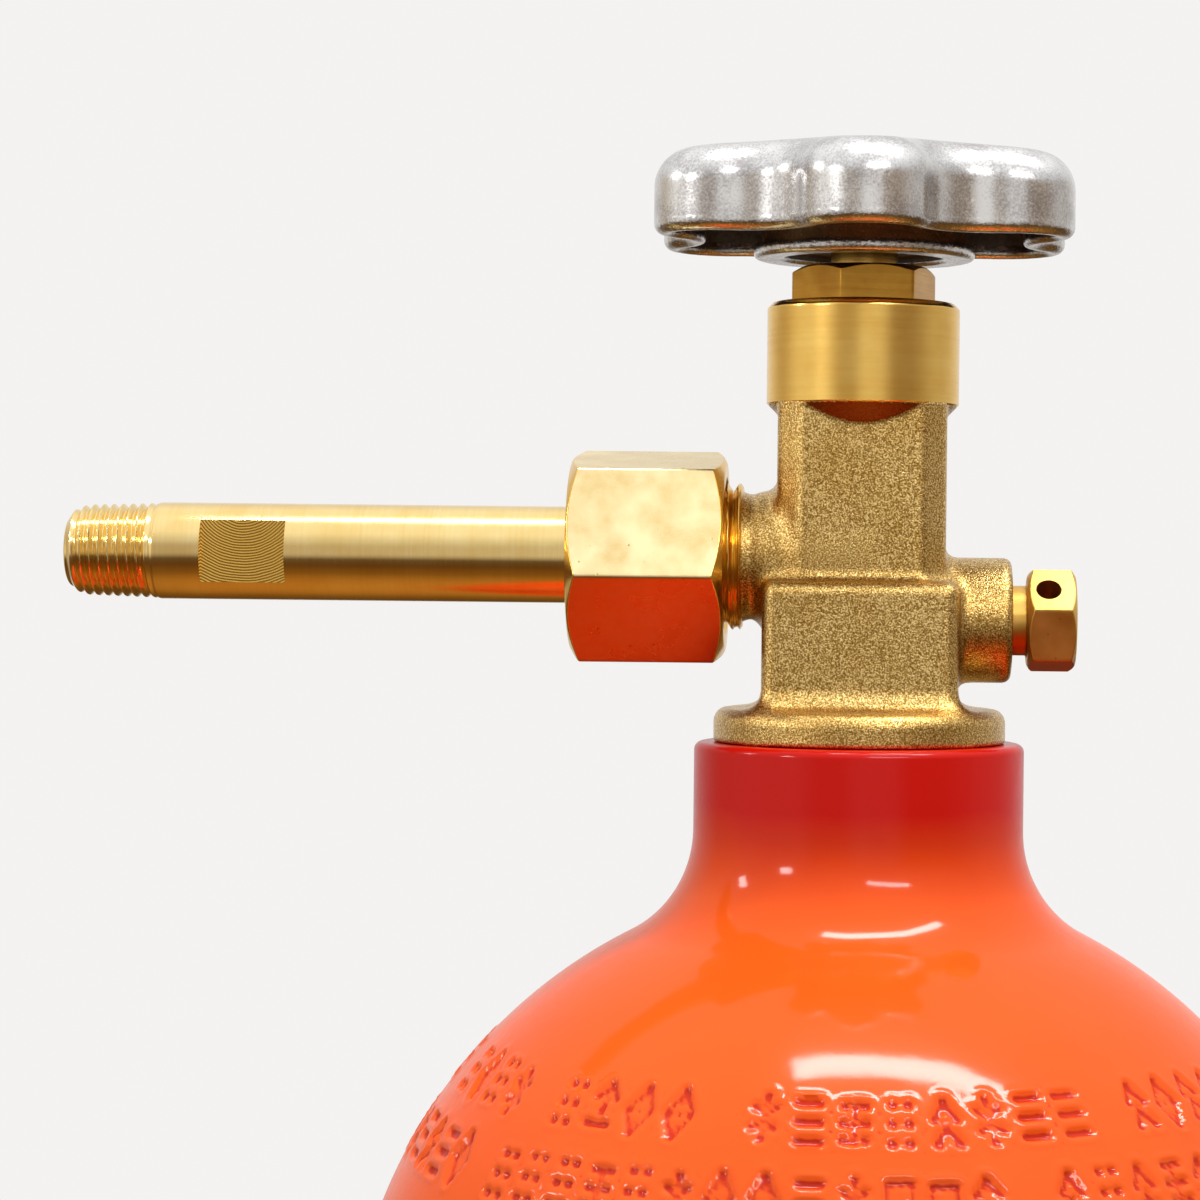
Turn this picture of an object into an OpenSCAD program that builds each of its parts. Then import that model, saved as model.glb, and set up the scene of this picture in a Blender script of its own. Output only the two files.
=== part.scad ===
// Gas cylinder with a handwheel valve, a bursting-disc plug and a nipple held by a union nut.
// Millimetres, +Z up. The origin is the centre of the standing ring under the cylinder.
// The outlet and its nipple point along -X, the bursting-disc plug along +X.

/* [Cylinder] */
// Height from the standing ring to the top of the neck
cylinder_h = 400; // [360:5:560]
// Outside diameter of the cylinder
cylinder_d = 150; // [124:1:182]
// Thickness of the cylinder wall
wall_t = 5; // [3:0.5:6]
// Outside diameter of the neck
neck_d = 49.2; // [45:0.1:60]
// Length of the straight part of the neck
neck_l = 13; // [8:0.5:24]
// Radius of the hollow curve between neck and shoulder
neck_fillet_r = 17.6; // [10:0.1:24]
// Radius of the bottom edge
base_edge_r = 14; // [8:1:16]
// Diameter of the hollow under the base
dish_d = 104; // [70:1:106]
// Height of the hollow under the base
dish_h = 14; // [8:1:20]
// Thickness of the base
base_t = 7; // [5:0.5:10]

/* [Neck joint] */
// Diameter of the parallel thread on the valve stem
stem_d = 25; // [20:0.5:28]
// Length of the valve stem inside the neck
stem_l = 28; // [20:1:34]
// Thickness of the neck O-ring's cord
neck_seal_t = 2.6; // [2:0.1:3.5]

/* [Valve body] */
// Diameter of the round flange that sits on the neck
flange_d = 43.4; // [40:0.1:50]
// Thickness of the round flange
flange_t = 5.1; // [4:0.1:8]
// Radius of the flange's upper edge
flange_edge_r = 1.6; // [0.5:0.1:2]
// Width of the lower block, side to side
block_w = 28.8; // [26:0.1:34]
// Depth of the lower block, front to back
block_d = 28; // [26:0.1:34]
// Height of the lower block's top above the neck
block_top = 24; // [22:0.5:26]
// Radius of the lower block's upright corners
block_corner_r = 2; // [1:0.1:4]
// Width of the column, side to side
column_w = 25; // [22:0.1:27]
// Depth of the column, front to back
column_d = 22.4; // [20:0.1:27]
// Width of the column's front flat
column_flat_w = 18; // [14:0.1:20]
// Diameter of the turned barrel
barrel_d = 28.7; // [26:0.1:34]
// Height of the barrel's lower edge above the neck
barrel_bottom = 50.4; // [49:0.1:53]
// Height of the barrel's top above the neck
barrel_top = 65.4; // [65:0.1:70]
// Height of the cone under the barrel
barrel_cone_h = 3.3; // [1:0.1:4]
// Bevel on the barrel's top edge
barrel_bevel = 0.8; // [0.3:0.1:1.5]
// Diameter of the gas passage in the stem
passage_d = 5; // [3:0.5:6]

/* [Outlet] */
// Height of the outlet's axis above the neck
outlet_z = 27.5; // [27:0.5:31]
// Diameter of the rough boss behind the outlet thread
outlet_boss_d = 20; // [19:0.1:21.6]
// Distance from the valve axis to the start of the outlet thread
outlet_boss_x = 16.7; // [15:0.1:18]
// Outside diameter of the outlet thread
outlet_thread_d = 21.8; // [21:0.1:24]
// Distance from the valve axis to the outlet's sealing face
outlet_face_x = 33; // [31:0.5:36]
// Thickness of the outlet gasket
outlet_gasket_t = 1.5; // [1:0.1:2.5]

/* [Union nut and nipple] */
// Width across the union nut's flats
union_across = 29; // [28:0.5:34]
// Distance from the valve axis to the union nut's near end
union_near_x = 20.1; // [19:0.1:23]
// Length of the union nut
union_l = 23; // [22:0.1:30]
// Turn of the union nut about its axis, in degrees
union_turn = 19.2; // [0:0.1:59.9]
// Outside diameter of the nipple's tube
nipple_d = 14.4; // [11.8:0.1:16]
// Distance from the valve axis to the nipple's free end
nipple_end_x = 118; // [90:1:160]
// Diameter of the nipple's bore
nipple_bore_d = 6.4; // [4:0.1:8]
// Diameter of the nipple's sealing collar
collar_d = 19.6; // [18:0.1:20.5]
// Thickness of the nipple's sealing collar
collar_t = 3.5; // [2.5:0.1:5]
// Diameter over the nipple's pipe thread
pipe_thread_d = 13.7; // [11:0.1:13.9]
// Length of the nipple's pipe thread
pipe_thread_l = 13.5; // [10:0.1:18]
// Length of the nipple's wrench flats
wrench_l = 12.5; // [8:0.1:16]
// Width across the nipple's wrench flats
wrench_across = 11.1; // [10:0.1:11.8]
// Plain length between the wrench flats and the pipe thread
wrench_gap = 7; // [3:0.5:12]

/* [Bursting-disc plug] */
// Height of the plug's axis above the neck
relief_z = 18.4; // [17.5:0.1:19.5]
// Diameter of the rough boss that holds the plug
relief_boss_d = 18.5; // [17:0.1:20]
// Distance from the valve axis to the boss's face
relief_boss_x = 22.5; // [21:0.5:26]
// Diameter of the plug's thread
relief_thread_d = 11; // [10:0.1:12]
// Distance from the valve axis to the bottom of the plug's hole
relief_floor_x = 12; // [11:0.5:13]
// Gap between the boss and the plug's hexagon
relief_neck_l = 2.3; // [1:0.1:4]
// Length of the plug's hexagon
relief_hex_l = 7.2; // [6:0.1:10]
// Width across the plug's flats
relief_across = 13.9; // [13:0.1:17]
// Turn of the plug about its axis, in degrees
relief_turn = 17.4; // [0:0.1:59.9]
// Diameter of the vent drilled across the plug's flats
vent_d = 3.8; // [2:0.1:4.5]
// Thickness of the bursting disc
disc_t = 0.4; // [0.2:0.1:0.6]
// Thickness of the washer on the bursting disc
disc_washer_t = 1; // [0.6:0.1:2]

/* [Gland and spindles] */
// Width across the gland nut's flats
gland_across = 19; // [17:0.5:22]
// Height of the gland nut's hexagon
gland_hex_h = 5.4; // [4:0.1:7]
// Diameter of the gland nut's thread
gland_thread_d = 18; // [17.6:0.1:20]
// Turn of the gland nut about its axis, in degrees
gland_turn = 12.1; // [0:0.1:59.9]
// Thickness of the gasket under the gland nut
gland_gasket_t = 1; // [0.5:0.1:2]
// Diameter of the upper spindle where it passes the gland
spindle_d = 10; // [8:0.1:10.4]
// Diameter of the upper spindle's thrust collar
thrust_d = 13.6; // [12:0.1:14]
// Thickness of the upper spindle's thrust collar
thrust_t = 3; // [2:0.1:4]
// Thickness of the thrust washer
thrust_washer_t = 1; // [0.5:0.1:1.5]
// Thickness of the spindle O-ring's cord
spindle_seal_t = 1.8; // [1.5:0.1:2]
// Thickness of the backup ring beside the spindle O-ring
backup_t = 1; // [0.5:0.1:1.5]
// Width of the square drive between the two spindles
drive_w = 6; // [5:0.1:6.5]
// Diameter of the lower spindle's thread
lower_spindle_d = 14; // [13:0.1:15]
// Length of the lower spindle's threaded part
lower_spindle_l = 16; // [14:0.5:17]
// Diameter of the seat insert
seat_d = 7; // [6:0.1:8]
// Length of the seat insert
seat_l = 4; // [3:0.1:5]
// Height of the valve seat above the neck
seat_z = 24; // [23.8:0.1:24.5]

/* [Handwheel] */
// Height of the handwheel's hub bottom above the neck
wheel_hub_z = 71.9; // [71.4:0.1:76]
// Height of the handwheel's skirt bottom above the hub bottom
wheel_skirt_rise = 2.3; // [0:0.1:4]
// Height of the handwheel's top above the hub bottom
wheel_h = 17; // [14:0.1:20]
// Number of lobes on the handwheel
wheel_lobes = 6; // [6:1:6]
// Distance from the axis to each lobe's centre
wheel_lobe_at = 24.2; // [22:0.1:27]
// Radius of each lobe
wheel_lobe_r = 9.7; // [9:0.1:11]
// Distance from the axis to the bottom of each hollow between lobes
wheel_hollow_at = 26.3; // [25:0.1:30]
// Thickness of the handwheel's skirt
wheel_skirt_t = 2.6; // [2:0.1:3.5]
// Thickness of the handwheel's web
wheel_web_t = 3.2; // [2.5:0.1:5]
// Radius of the handwheel's upper outer edge
wheel_edge_r = 6; // [2:0.1:8]
// Drop of the handwheel's top from its middle to its edge
wheel_dome_h = 1.5; // [0.5:0.1:2]
// Turn of the handwheel about its axis, in degrees
wheel_turn = 30; // [0:1:59]
// Diameter of the handwheel's hub
hub_d = 30; // [24:0.1:32]
// Diameter of the flange at the hub's bottom
hub_flange_d = 33; // [32.5:0.1:36]
// Diameter of the recess in the hub's underside
hub_recess_d = 23.6; // [20:0.1:24]
// Depth of the recess in the hub's underside
hub_recess_h = 1.5; // [1:0.1:2.5]
// Width of the square hole in the handwheel
wheel_square_w = 7; // [6:0.1:7]
// Diameter of the recess around the handwheel nut
nut_recess_d = 18; // [17:0.1:22]
// Depth of the recess around the handwheel nut
nut_recess_h = 7; // [6.5:0.1:8]
// Width across the handwheel nut's flats
wheel_nut_across = 10; // [9:0.5:11]
// Height of the handwheel nut
wheel_nut_h = 4; // [3:0.1:4.5]
// Diameter of the thread on top of the upper spindle
wheel_thread_d = 6; // [5:0.1:6]
// Thickness of the washer under the handwheel nut
wheel_washer_t = 1.2; // [0.8:0.1:1.6]
// Diameter of the washer under the handwheel nut
wheel_washer_d = 14; // [12:0.1:16]

/* [Fits] */
// Clearance round a piece that turns or slides
run_gap = 0.06; // [0.04:0.01:0.1]
// Clearance between pieces that are screwed or pressed together
seat_gap = 0.05; // [0.03:0.01:0.08]

/* [Hidden] */
$fn = 72;

cylinder_r = cylinder_d / 2;
neck_r = neck_d / 2;
// Centre of the shoulder's ball, from the curve that joins it to the neck
fillet_x = neck_r + neck_fillet_r;
fillet_z = cylinder_h - neck_l;
fillet_reach = cylinder_r + neck_fillet_r;
shoulder_z = fillet_z - sqrt(fillet_reach * fillet_reach - fillet_x * fillet_x);
// Ball that shapes the hollow under the base
dish_r = (dish_d * dish_d / 4 + dish_h * dish_h) / (2 * dish_h);
dish_z = dish_h - dish_r;
inner_r = cylinder_r - wall_t;
inner_edge_r = base_edge_r - wall_t / 2;

stem_r = stem_d / 2;
neck_bore_r = stem_r + seat_gap;
seal_recess_r = neck_bore_r + neck_seal_t + 2 * seat_gap;
seal_recess_h = neck_seal_t + 2 * seat_gap;
stem_passage_d = 9;
stem_passage_l = 22;
outlet_mouth_d = 10;
outlet_mouth_l = 5;
thread_depth = 1.3;

gland_thread_r = gland_thread_d / 2;
gland_floor_drop = 0.7;
gland_floor = barrel_bottom - gland_floor_drop;
gland_bottom = gland_floor + gland_gasket_t;
gland_top = barrel_top + gland_hex_h;
chamber_r = lower_spindle_d / 2 + run_gap;
seat_ring_h = 1.5;
seat_ring_r = 4.3;
chamber_floor = seat_z - seat_ring_h;

spindle_r = spindle_d / 2;
spindle_bore_r = spindle_r + run_gap;
thrust_r = thrust_d / 2;
thrust_bore_r = thrust_r + run_gap;
thrust_room_h = 6;
thrust_ceiling = gland_bottom + thrust_room_h;
thrust_top = thrust_ceiling - thrust_washer_t - seat_gap;
thrust_bottom = thrust_top - thrust_t;
groove_r = spindle_bore_r - spindle_seal_t - seat_gap;
groove_h = spindle_seal_t + backup_t + 3 * seat_gap;
groove_cover_h = 4;
groove_bottom = gland_top - groove_h - groove_cover_h;
drive_l = 13;
drive_in = 5;
drive_bottom = thrust_bottom - drive_l;
lower_top = drive_bottom + drive_in;
lower_bottom = lower_top - lower_spindle_l;
socket_depth = 10;
socket_w = drive_w + 4 * seat_gap;
seat_bottom = seat_z + seat_gap;
seat_top = seat_bottom + seat_l;
nose_wall = 1.4;

wheel_top = wheel_hub_z + wheel_h;
wheel_reach = wheel_lobe_at + wheel_lobe_r;
// Hollows between lobes are arcs that meet each lobe without a corner
half_lobe = 180 / wheel_lobes;
hollow_gain = wheel_hollow_at - wheel_lobe_r;
hollow_centre = (wheel_lobe_at * wheel_lobe_at - hollow_gain * hollow_gain)
    / (2 * (wheel_lobe_at * cos(half_lobe) - hollow_gain));
hollow_r = hollow_centre - wheel_hollow_at;
nut_recess_z = wheel_top - nut_recess_h;
square_bottom = wheel_hub_z + hub_recess_h;
square_short = 0.2;
square_top = nut_recess_z - square_short;
wheel_washer_z = nut_recess_z + seat_gap;
wheel_nut_z = wheel_washer_z + wheel_washer_t + seat_gap;
spindle_proud = 1;
spindle_top = wheel_nut_z + wheel_nut_h + spindle_proud;

outlet_thread_r = outlet_thread_d / 2;
union_bore_r = outlet_thread_r + run_gap;
gasket_x = outlet_face_x + outlet_gasket_t;
collar_near_x = gasket_x + seat_gap;
collar_far_x = collar_near_x + collar_t;
union_shoulder_x = collar_far_x + seat_gap;
nipple_r = nipple_d / 2;
thread_start_x = nipple_end_x - pipe_thread_l;
wrench_end_x = thread_start_x - wrench_gap;

relief_thread_r = relief_thread_d / 2;
disc_r = relief_thread_r - 2 * seat_gap;
disc_washer_x = relief_floor_x + disc_t + seat_gap;
plug_tip_x = disc_washer_x + disc_washer_t + seat_gap;
relief_hex_x = relief_boss_x + relief_neck_l;
plug_bore_d = 4.4;
plug_undercut = 0.3;
vent_from_boss = 3;
vent_x = relief_hex_x + vent_from_boss;
plug_bore_l = vent_x + vent_d / 2 - plug_tip_x;

PAINT = [0.93, 0.27, 0.09];
CAST_BRASS = [0.62, 0.48, 0.27];
BRASS = [0.85, 0.66, 0.28];
STEEL = [0.72, 0.73, 0.75];
ALUMINIUM = [0.70, 0.71, 0.74];
RUBBER = [0.10, 0.10, 0.11];
POLYMER = [0.92, 0.91, 0.87];
COPPER = [0.78, 0.45, 0.30];

// Places a piece at a height above the neck
module above_neck(z) {
    translate([0, 0, cylinder_h + z]) children();
}

// Turns a piece drawn along +Z to point from the valve axis along -X
module toward_outlet(x) {
    above_neck(outlet_z) rotate([0, -90, 0]) translate([0, 0, x]) children();
}

// Turns a piece drawn along +Z to point from the valve axis along +X
module toward_relief(x) {
    above_neck(relief_z) rotate([0, 90, 0]) translate([0, 0, x]) children();
}

module ring(outer_r, inner_r, height) {
    difference() {
        cylinder(r = outer_r, h = height);
        translate([0, 0, -1]) cylinder(r = inner_r, h = height + 2);
    }
}

module torus(centre_r, cord_d) {
    rotate_extrude() translate([centre_r, 0]) circle(d = cord_d);
}

// Hexagonal bar whose ends are bevelled at 30 degrees, as turned from bar
module hex_bar(across, height, low_bevel, high_bevel) {
    bevel_deg = 30;
    spare_r = 0.3;
    face_inset = 0.2;
    least = 0.01;
    corner_r = across / sqrt(3) + spare_r;
    face_r = across / 2 - face_inset;
    drop = (corner_r - face_r) * tan(bevel_deg);
    low_r = low_bevel ? face_r : corner_r;
    low_drop = low_bevel ? drop : 0;
    high_r = high_bevel ? face_r : corner_r;
    high_drop = high_bevel ? drop : 0;
    intersection() {
        linear_extrude(height) circle(r = across / sqrt(3), $fn = 6);
        rotate_extrude() polygon([
            [0, 0], [low_r, 0], [corner_r, low_drop + least],
            [corner_r, height - high_drop - least], [high_r, height], [0, height]
        ]);
    }
}

module square_bar(width, height) {
    translate([-width / 2, -width / 2, 0]) cube([width, width, height]);
}

// Half section of the cylinder's outside, base to neck
module shell_outside() {
    tangent = cylinder_r / fillet_reach;
    intersection() {
        union() {
            translate([0, base_edge_r]) square([cylinder_r, shoulder_z - base_edge_r]);
            square([cylinder_r - base_edge_r, base_edge_r + 1]);
            translate([cylinder_r - base_edge_r, base_edge_r]) circle(r = base_edge_r);
            translate([0, shoulder_z]) circle(r = cylinder_r);
            translate([0, shoulder_z]) square([neck_r, cylinder_h - shoulder_z]);
            difference() {
                polygon([
                    [0, shoulder_z],
                    [fillet_x * tangent, shoulder_z + (fillet_z - shoulder_z) * tangent],
                    [fillet_x, fillet_z], [0, fillet_z]
                ]);
                translate([fillet_x, fillet_z]) circle(r = neck_fillet_r);
            }
        }
        square([cylinder_r + 1, cylinder_h]);
    }
}

// Half section of the gas space
module shell_inside() {
    floor_z = base_edge_r;
    corner_x = inner_r - inner_edge_r;
    difference() {
        intersection() {
            union() {
                translate([0, floor_z + inner_edge_r])
                    square([inner_r, shoulder_z - floor_z - inner_edge_r]);
                translate([0, floor_z]) square([corner_x, inner_edge_r + 1]);
                translate([corner_x, floor_z + inner_edge_r]) circle(r = inner_edge_r);
                translate([0, shoulder_z]) circle(r = inner_r);
            }
            square([cylinder_r, cylinder_h]);
        }
        translate([0, dish_z]) circle(r = dish_r + base_t);
    }
}

module cylinder_shell() {
    color(PAINT) difference() {
        rotate_extrude() shell_outside();
        rotate_extrude() shell_inside();
        translate([0, 0, dish_z]) sphere(r = dish_r);
        translate([0, 0, shoulder_z]) cylinder(r = neck_bore_r, h = cylinder_h);
        above_neck(-seal_recess_h) cylinder(r = seal_recess_r, h = seal_recess_h + 1);
    }
}

module neck_o_ring() {
    color(RUBBER) above_neck(-seal_recess_h / 2)
        torus(neck_bore_r + seat_gap + neck_seal_t / 2, neck_seal_t);
}

module flange() {
    straight_h = flange_t - flange_edge_r;
    edge_x = flange_d / 2 - flange_edge_r;
    rotate_extrude() union() {
        square([edge_x, flange_t]);
        square([flange_d / 2, straight_h]);
        translate([edge_x, straight_h]) circle(r = flange_edge_r);
    }
}

module block_outline() {
    straight_w = block_w - 2 * block_corner_r;
    straight_d = block_d - 2 * block_corner_r;
    square([straight_w, block_d], center = true);
    square([block_w, straight_d], center = true);
    for (x = [-1, 1], y = [-1, 1])
        translate([x * straight_w / 2, y * straight_d / 2]) circle(r = block_corner_r);
}

module column_outline() {
    flat = column_flat_w / 2;
    front = column_d / 2;
    side = column_w / 2;
    shoulder = front - (side - flat);
    polygon([
        [flat, -front], [side, -shoulder], [side, shoulder], [flat, front],
        [-flat, front], [-side, shoulder], [-side, -shoulder], [-flat, -front]
    ]);
}

module barrel() {
    barrel_r = barrel_d / 2;
    rotate_extrude() polygon([
        [0, barrel_bottom - barrel_cone_h], [barrel_r - barrel_cone_h, barrel_bottom - barrel_cone_h],
        [barrel_r, barrel_bottom], [barrel_r, barrel_top - barrel_bevel],
        [barrel_r - barrel_bevel, barrel_top], [0, barrel_top]
    ]);
}

module valve_casting() {
    flange();
    translate([0, 0, flange_t - 1]) linear_extrude(block_top - flange_t + 1) block_outline();
    linear_extrude(barrel_bottom) column_outline();
    barrel();
    translate([0, 0, -stem_l]) cylinder(r = stem_r, h = stem_l + 1);
}

module valve_body() {
    relief_bore_r = relief_thread_r + seat_gap;
    relief_passage_d = passage_d - 1;
    moat_h = seat_ring_h + 0.5;
    color(CAST_BRASS) difference() {
        union() {
            above_neck(0) valve_casting();
            toward_outlet(0) cylinder(d = outlet_boss_d, h = outlet_boss_x);
            toward_outlet(0) cylinder(r = outlet_thread_r - thread_depth, h = outlet_face_x);
            toward_outlet(outlet_boss_x) cylinder(r = outlet_thread_r, h = outlet_face_x - outlet_boss_x);
            toward_relief(0) cylinder(d = relief_boss_d, h = relief_boss_x);
        }
        above_neck(gland_floor) cylinder(r = gland_thread_r + seat_gap, h = barrel_top);
        above_neck(seat_z) cylinder(r = chamber_r, h = barrel_top);
        above_neck(chamber_floor) ring(chamber_r, seat_ring_r, moat_h);
        above_neck(-stem_l - 1) cylinder(d = passage_d, h = stem_l + seat_z + 2);
        above_neck(-stem_l - 1) cylinder(d = stem_passage_d, h = stem_passage_l + 1);
        toward_outlet(0) cylinder(d = passage_d, h = outlet_face_x + 1);
        toward_outlet(outlet_face_x - outlet_mouth_l) cylinder(d = outlet_mouth_d, h = outlet_mouth_l + 1);
        toward_relief(0) cylinder(d = relief_passage_d, h = relief_boss_x + 1);
        toward_relief(relief_floor_x) cylinder(r = relief_bore_r, h = relief_boss_x);
    }
}

module bonnet() {
    color(BRASS) above_neck(0) difference() {
        union() {
            translate([0, 0, gland_bottom]) cylinder(r = gland_thread_r, h = barrel_top - gland_bottom);
            translate([0, 0, barrel_top]) rotate(gland_turn)
                hex_bar(gland_across, gland_hex_h, false, true);
        }
        cylinder(r = spindle_bore_r, h = gland_top + 1);
        cylinder(r = thrust_bore_r, h = thrust_ceiling);
    }
}

module bonnet_gasket() {
    inner_gap = 0.2;
    color(COPPER) above_neck(gland_floor)
        ring(gland_thread_r - seat_gap, thrust_bore_r + inner_gap, gland_gasket_t);
}

module thrust_washer() {
    color(POLYMER) above_neck(thrust_ceiling - thrust_washer_t)
        ring(thrust_r, spindle_bore_r, thrust_washer_t);
}

module upper_spindle() {
    color(BRASS) above_neck(0) difference() {
        union() {
            translate([0, 0, thrust_bottom]) cylinder(r = thrust_r, h = thrust_t);
            translate([0, 0, thrust_bottom]) cylinder(r = spindle_r, h = square_bottom - thrust_bottom);
            translate([0, 0, drive_bottom]) square_bar(drive_w, drive_l + 1);
            translate([0, 0, square_bottom - 1])
                square_bar(wheel_square_w - 2 * seat_gap, square_top - square_bottom + 1);
            translate([0, 0, square_bottom]) cylinder(d = wheel_thread_d, h = spindle_top - square_bottom);
        }
        translate([0, 0, groove_bottom]) ring(spindle_r + 1, groove_r, groove_h);
    }
}

module spindle_o_ring() {
    color(RUBBER) above_neck(groove_bottom + seat_gap + spindle_seal_t / 2)
        torus(groove_r + (spindle_seal_t + seat_gap) / 2, spindle_seal_t);
}

module backup_ring() {
    color(POLYMER) above_neck(groove_bottom + 2 * seat_gap + spindle_seal_t)
        ring(spindle_r, groove_r + seat_gap, backup_t);
}

module lower_spindle() {
    color(BRASS) above_neck(0) difference() {
        union() {
            translate([0, 0, lower_bottom])
                cylinder(d = lower_spindle_d, h = lower_spindle_l);
            translate([0, 0, seat_bottom + 1])
                cylinder(r = seat_d / 2 + nose_wall, h = lower_bottom - seat_bottom);
        }
        translate([0, 0, lower_top - socket_depth]) square_bar(socket_w, socket_depth + 1);
        translate([0, 0, seat_bottom - 1]) cylinder(r = seat_d / 2 + seat_gap, h = seat_l + 1 + seat_gap);
    }
}

module seat_insert() {
    color(POLYMER) above_neck(seat_bottom) cylinder(d = seat_d, h = seat_l);
}

// Outline of the handwheel, drawn in by the amount given
module wheel_outline(inset) {
    corners = [for (k = [0 : 2 * wheel_lobes - 1])
        (k % 2 == 0 ? wheel_lobe_at : hollow_centre) * [cos(k * half_lobe), sin(k * half_lobe)]];
    difference() {
        union() {
            polygon(corners);
            for (k = [0 : wheel_lobes - 1]) rotate(2 * k * half_lobe) translate([wheel_lobe_at, 0])
                circle(r = wheel_lobe_r - inset);
        }
        for (k = [0 : wheel_lobes - 1]) rotate((2 * k + 1) * half_lobe) translate([hollow_centre, 0])
            circle(r = hollow_r + inset);
    }
}

// Turned shape that the handwheel's top and upper edge lie on
module wheel_envelope() {
    edge_x = wheel_reach - wheel_edge_r;
    edge_z = wheel_h - wheel_dome_h - wheel_edge_r;
    rotate_extrude() intersection() {
        union() {
            square([wheel_reach, edge_z]);
            translate([edge_x, edge_z]) circle(r = wheel_edge_r);
            polygon([[0, 0], [edge_x, 0], [edge_x, wheel_h - wheel_dome_h], [0, wheel_h]]);
        }
        square([wheel_reach + 1, wheel_h + 1]);
    }
}

module wheel_hub() {
    flange_h = 1.5;
    flare_top = 4;
    rotate_extrude() polygon([
        [0, 0], [hub_flange_d / 2, 0], [hub_flange_d / 2, flange_h], [hub_d / 2, flare_top],
        [hub_d / 2, wheel_h - wheel_web_t], [0, wheel_h - wheel_web_t]
    ]);
}

module handwheel() {
    roof = wheel_h - wheel_dome_h - wheel_web_t;
    color(ALUMINIUM) above_neck(wheel_hub_z) rotate(wheel_turn) difference() {
        union() {
            difference() {
                intersection() {
                    translate([0, 0, wheel_skirt_rise]) linear_extrude(wheel_h) wheel_outline(0);
                    wheel_envelope();
                }
                translate([0, 0, -1]) linear_extrude(roof + 1) wheel_outline(wheel_skirt_t);
            }
            wheel_hub();
        }
        rotate(-wheel_turn) translate([0, 0, -1]) square_bar(wheel_square_w, wheel_h + 2);
        translate([0, 0, -1]) cylinder(d = hub_recess_d, h = hub_recess_h + 1);
        translate([0, 0, wheel_h - nut_recess_h]) cylinder(d = nut_recess_d, h = nut_recess_h + 1);
    }
}

module handwheel_washer() {
    color(STEEL) above_neck(wheel_washer_z)
        ring(wheel_washer_d / 2, wheel_thread_d / 2 + seat_gap, wheel_washer_t);
}

module handwheel_nut() {
    color(STEEL) above_neck(wheel_nut_z) difference() {
        hex_bar(wheel_nut_across, wheel_nut_h, true, true);
        translate([0, 0, -1]) cylinder(r = wheel_thread_d / 2 + seat_gap, h = wheel_nut_h + 2);
    }
}

module relief_plug() {
    plug_neck_r = relief_thread_r - plug_undercut;
    color(BRASS) difference() {
        union() {
            toward_relief(plug_tip_x) cylinder(r = relief_thread_r, h = relief_boss_x - plug_tip_x);
            toward_relief(plug_tip_x) cylinder(r = plug_neck_r, h = relief_hex_x - plug_tip_x + 1);
            toward_relief(relief_hex_x) rotate(relief_turn)
                hex_bar(relief_across, relief_hex_l, true, true);
        }
        toward_relief(plug_tip_x - 1) cylinder(d = plug_bore_d, h = plug_bore_l + 1);
        toward_relief(vent_x) rotate(relief_turn + 30) rotate([0, 90, 0])
            cylinder(d = vent_d, h = 2 * relief_across, center = true);
    }
}

module burst_disc() {
    color(COPPER) toward_relief(relief_floor_x) cylinder(r = disc_r, h = disc_t);
}

module disc_washer() {
    color(STEEL) toward_relief(disc_washer_x) ring(disc_r, plug_bore_d / 2, disc_washer_t);
}

module union_nut() {
    color(BRASS) difference() {
        toward_outlet(union_near_x) rotate(union_turn) hex_bar(union_across, union_l, true, true);
        toward_outlet(union_near_x - 1)
            cylinder(r = union_bore_r, h = union_shoulder_x - union_near_x + 1);
        toward_outlet(union_near_x) cylinder(r = nipple_r + run_gap, h = union_l + 1);
    }
}

// Half section of the nipple from its sealing end: collar, tube, then pipe thread
module nipple_section() {
    tip_bevel = 0.8;
    thread_r = pipe_thread_d / 2;
    thread_at = thread_start_x - collar_near_x;
    whole_l = nipple_end_x - collar_near_x;
    polygon([
        [0, 0], [collar_d / 2, 0], [collar_d / 2, collar_t], [nipple_r, collar_t],
        [nipple_r, thread_at], [thread_r, thread_at], [thread_r, whole_l - tip_bevel],
        [thread_r - tip_bevel, whole_l], [0, whole_l]
    ]);
}

module nipple() {
    color(BRASS) difference() {
        toward_outlet(collar_near_x) rotate_extrude() nipple_section();
        toward_outlet(collar_near_x - 1) cylinder(d = nipple_bore_d, h = nipple_end_x);
        for (side = [-1, 1]) toward_outlet(wrench_end_x - wrench_l)
            translate([-nipple_d, side * (wrench_across / 2 + nipple_d) - nipple_d, 0])
                cube([2 * nipple_d, 2 * nipple_d, wrench_l]);
    }
}

module outlet_gasket() {
    edge_inset = 0.3;
    bore_spare = 0.8;
    color(POLYMER) toward_outlet(outlet_face_x)
        ring(collar_d / 2 - edge_inset, nipple_bore_d / 2 + bore_spare, outlet_gasket_t);
}

cylinder_shell();
neck_o_ring();
valve_body();
bonnet();
bonnet_gasket();
thrust_washer();
upper_spindle();
spindle_o_ring();
backup_ring();
lower_spindle();
seat_insert();
handwheel();
handwheel_washer();
handwheel_nut();
relief_plug();
burst_disc();
disc_washer();
union_nut();
nipple();
outlet_gasket();
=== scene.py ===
"""Looks of a gas cylinder with its valve. Pieces are drawn in millimetres, lamps are placed in metres."""
import math
from itertools import product

import bmesh
import bpy
import numpy as np
from mathutils import Matrix, Vector

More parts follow.
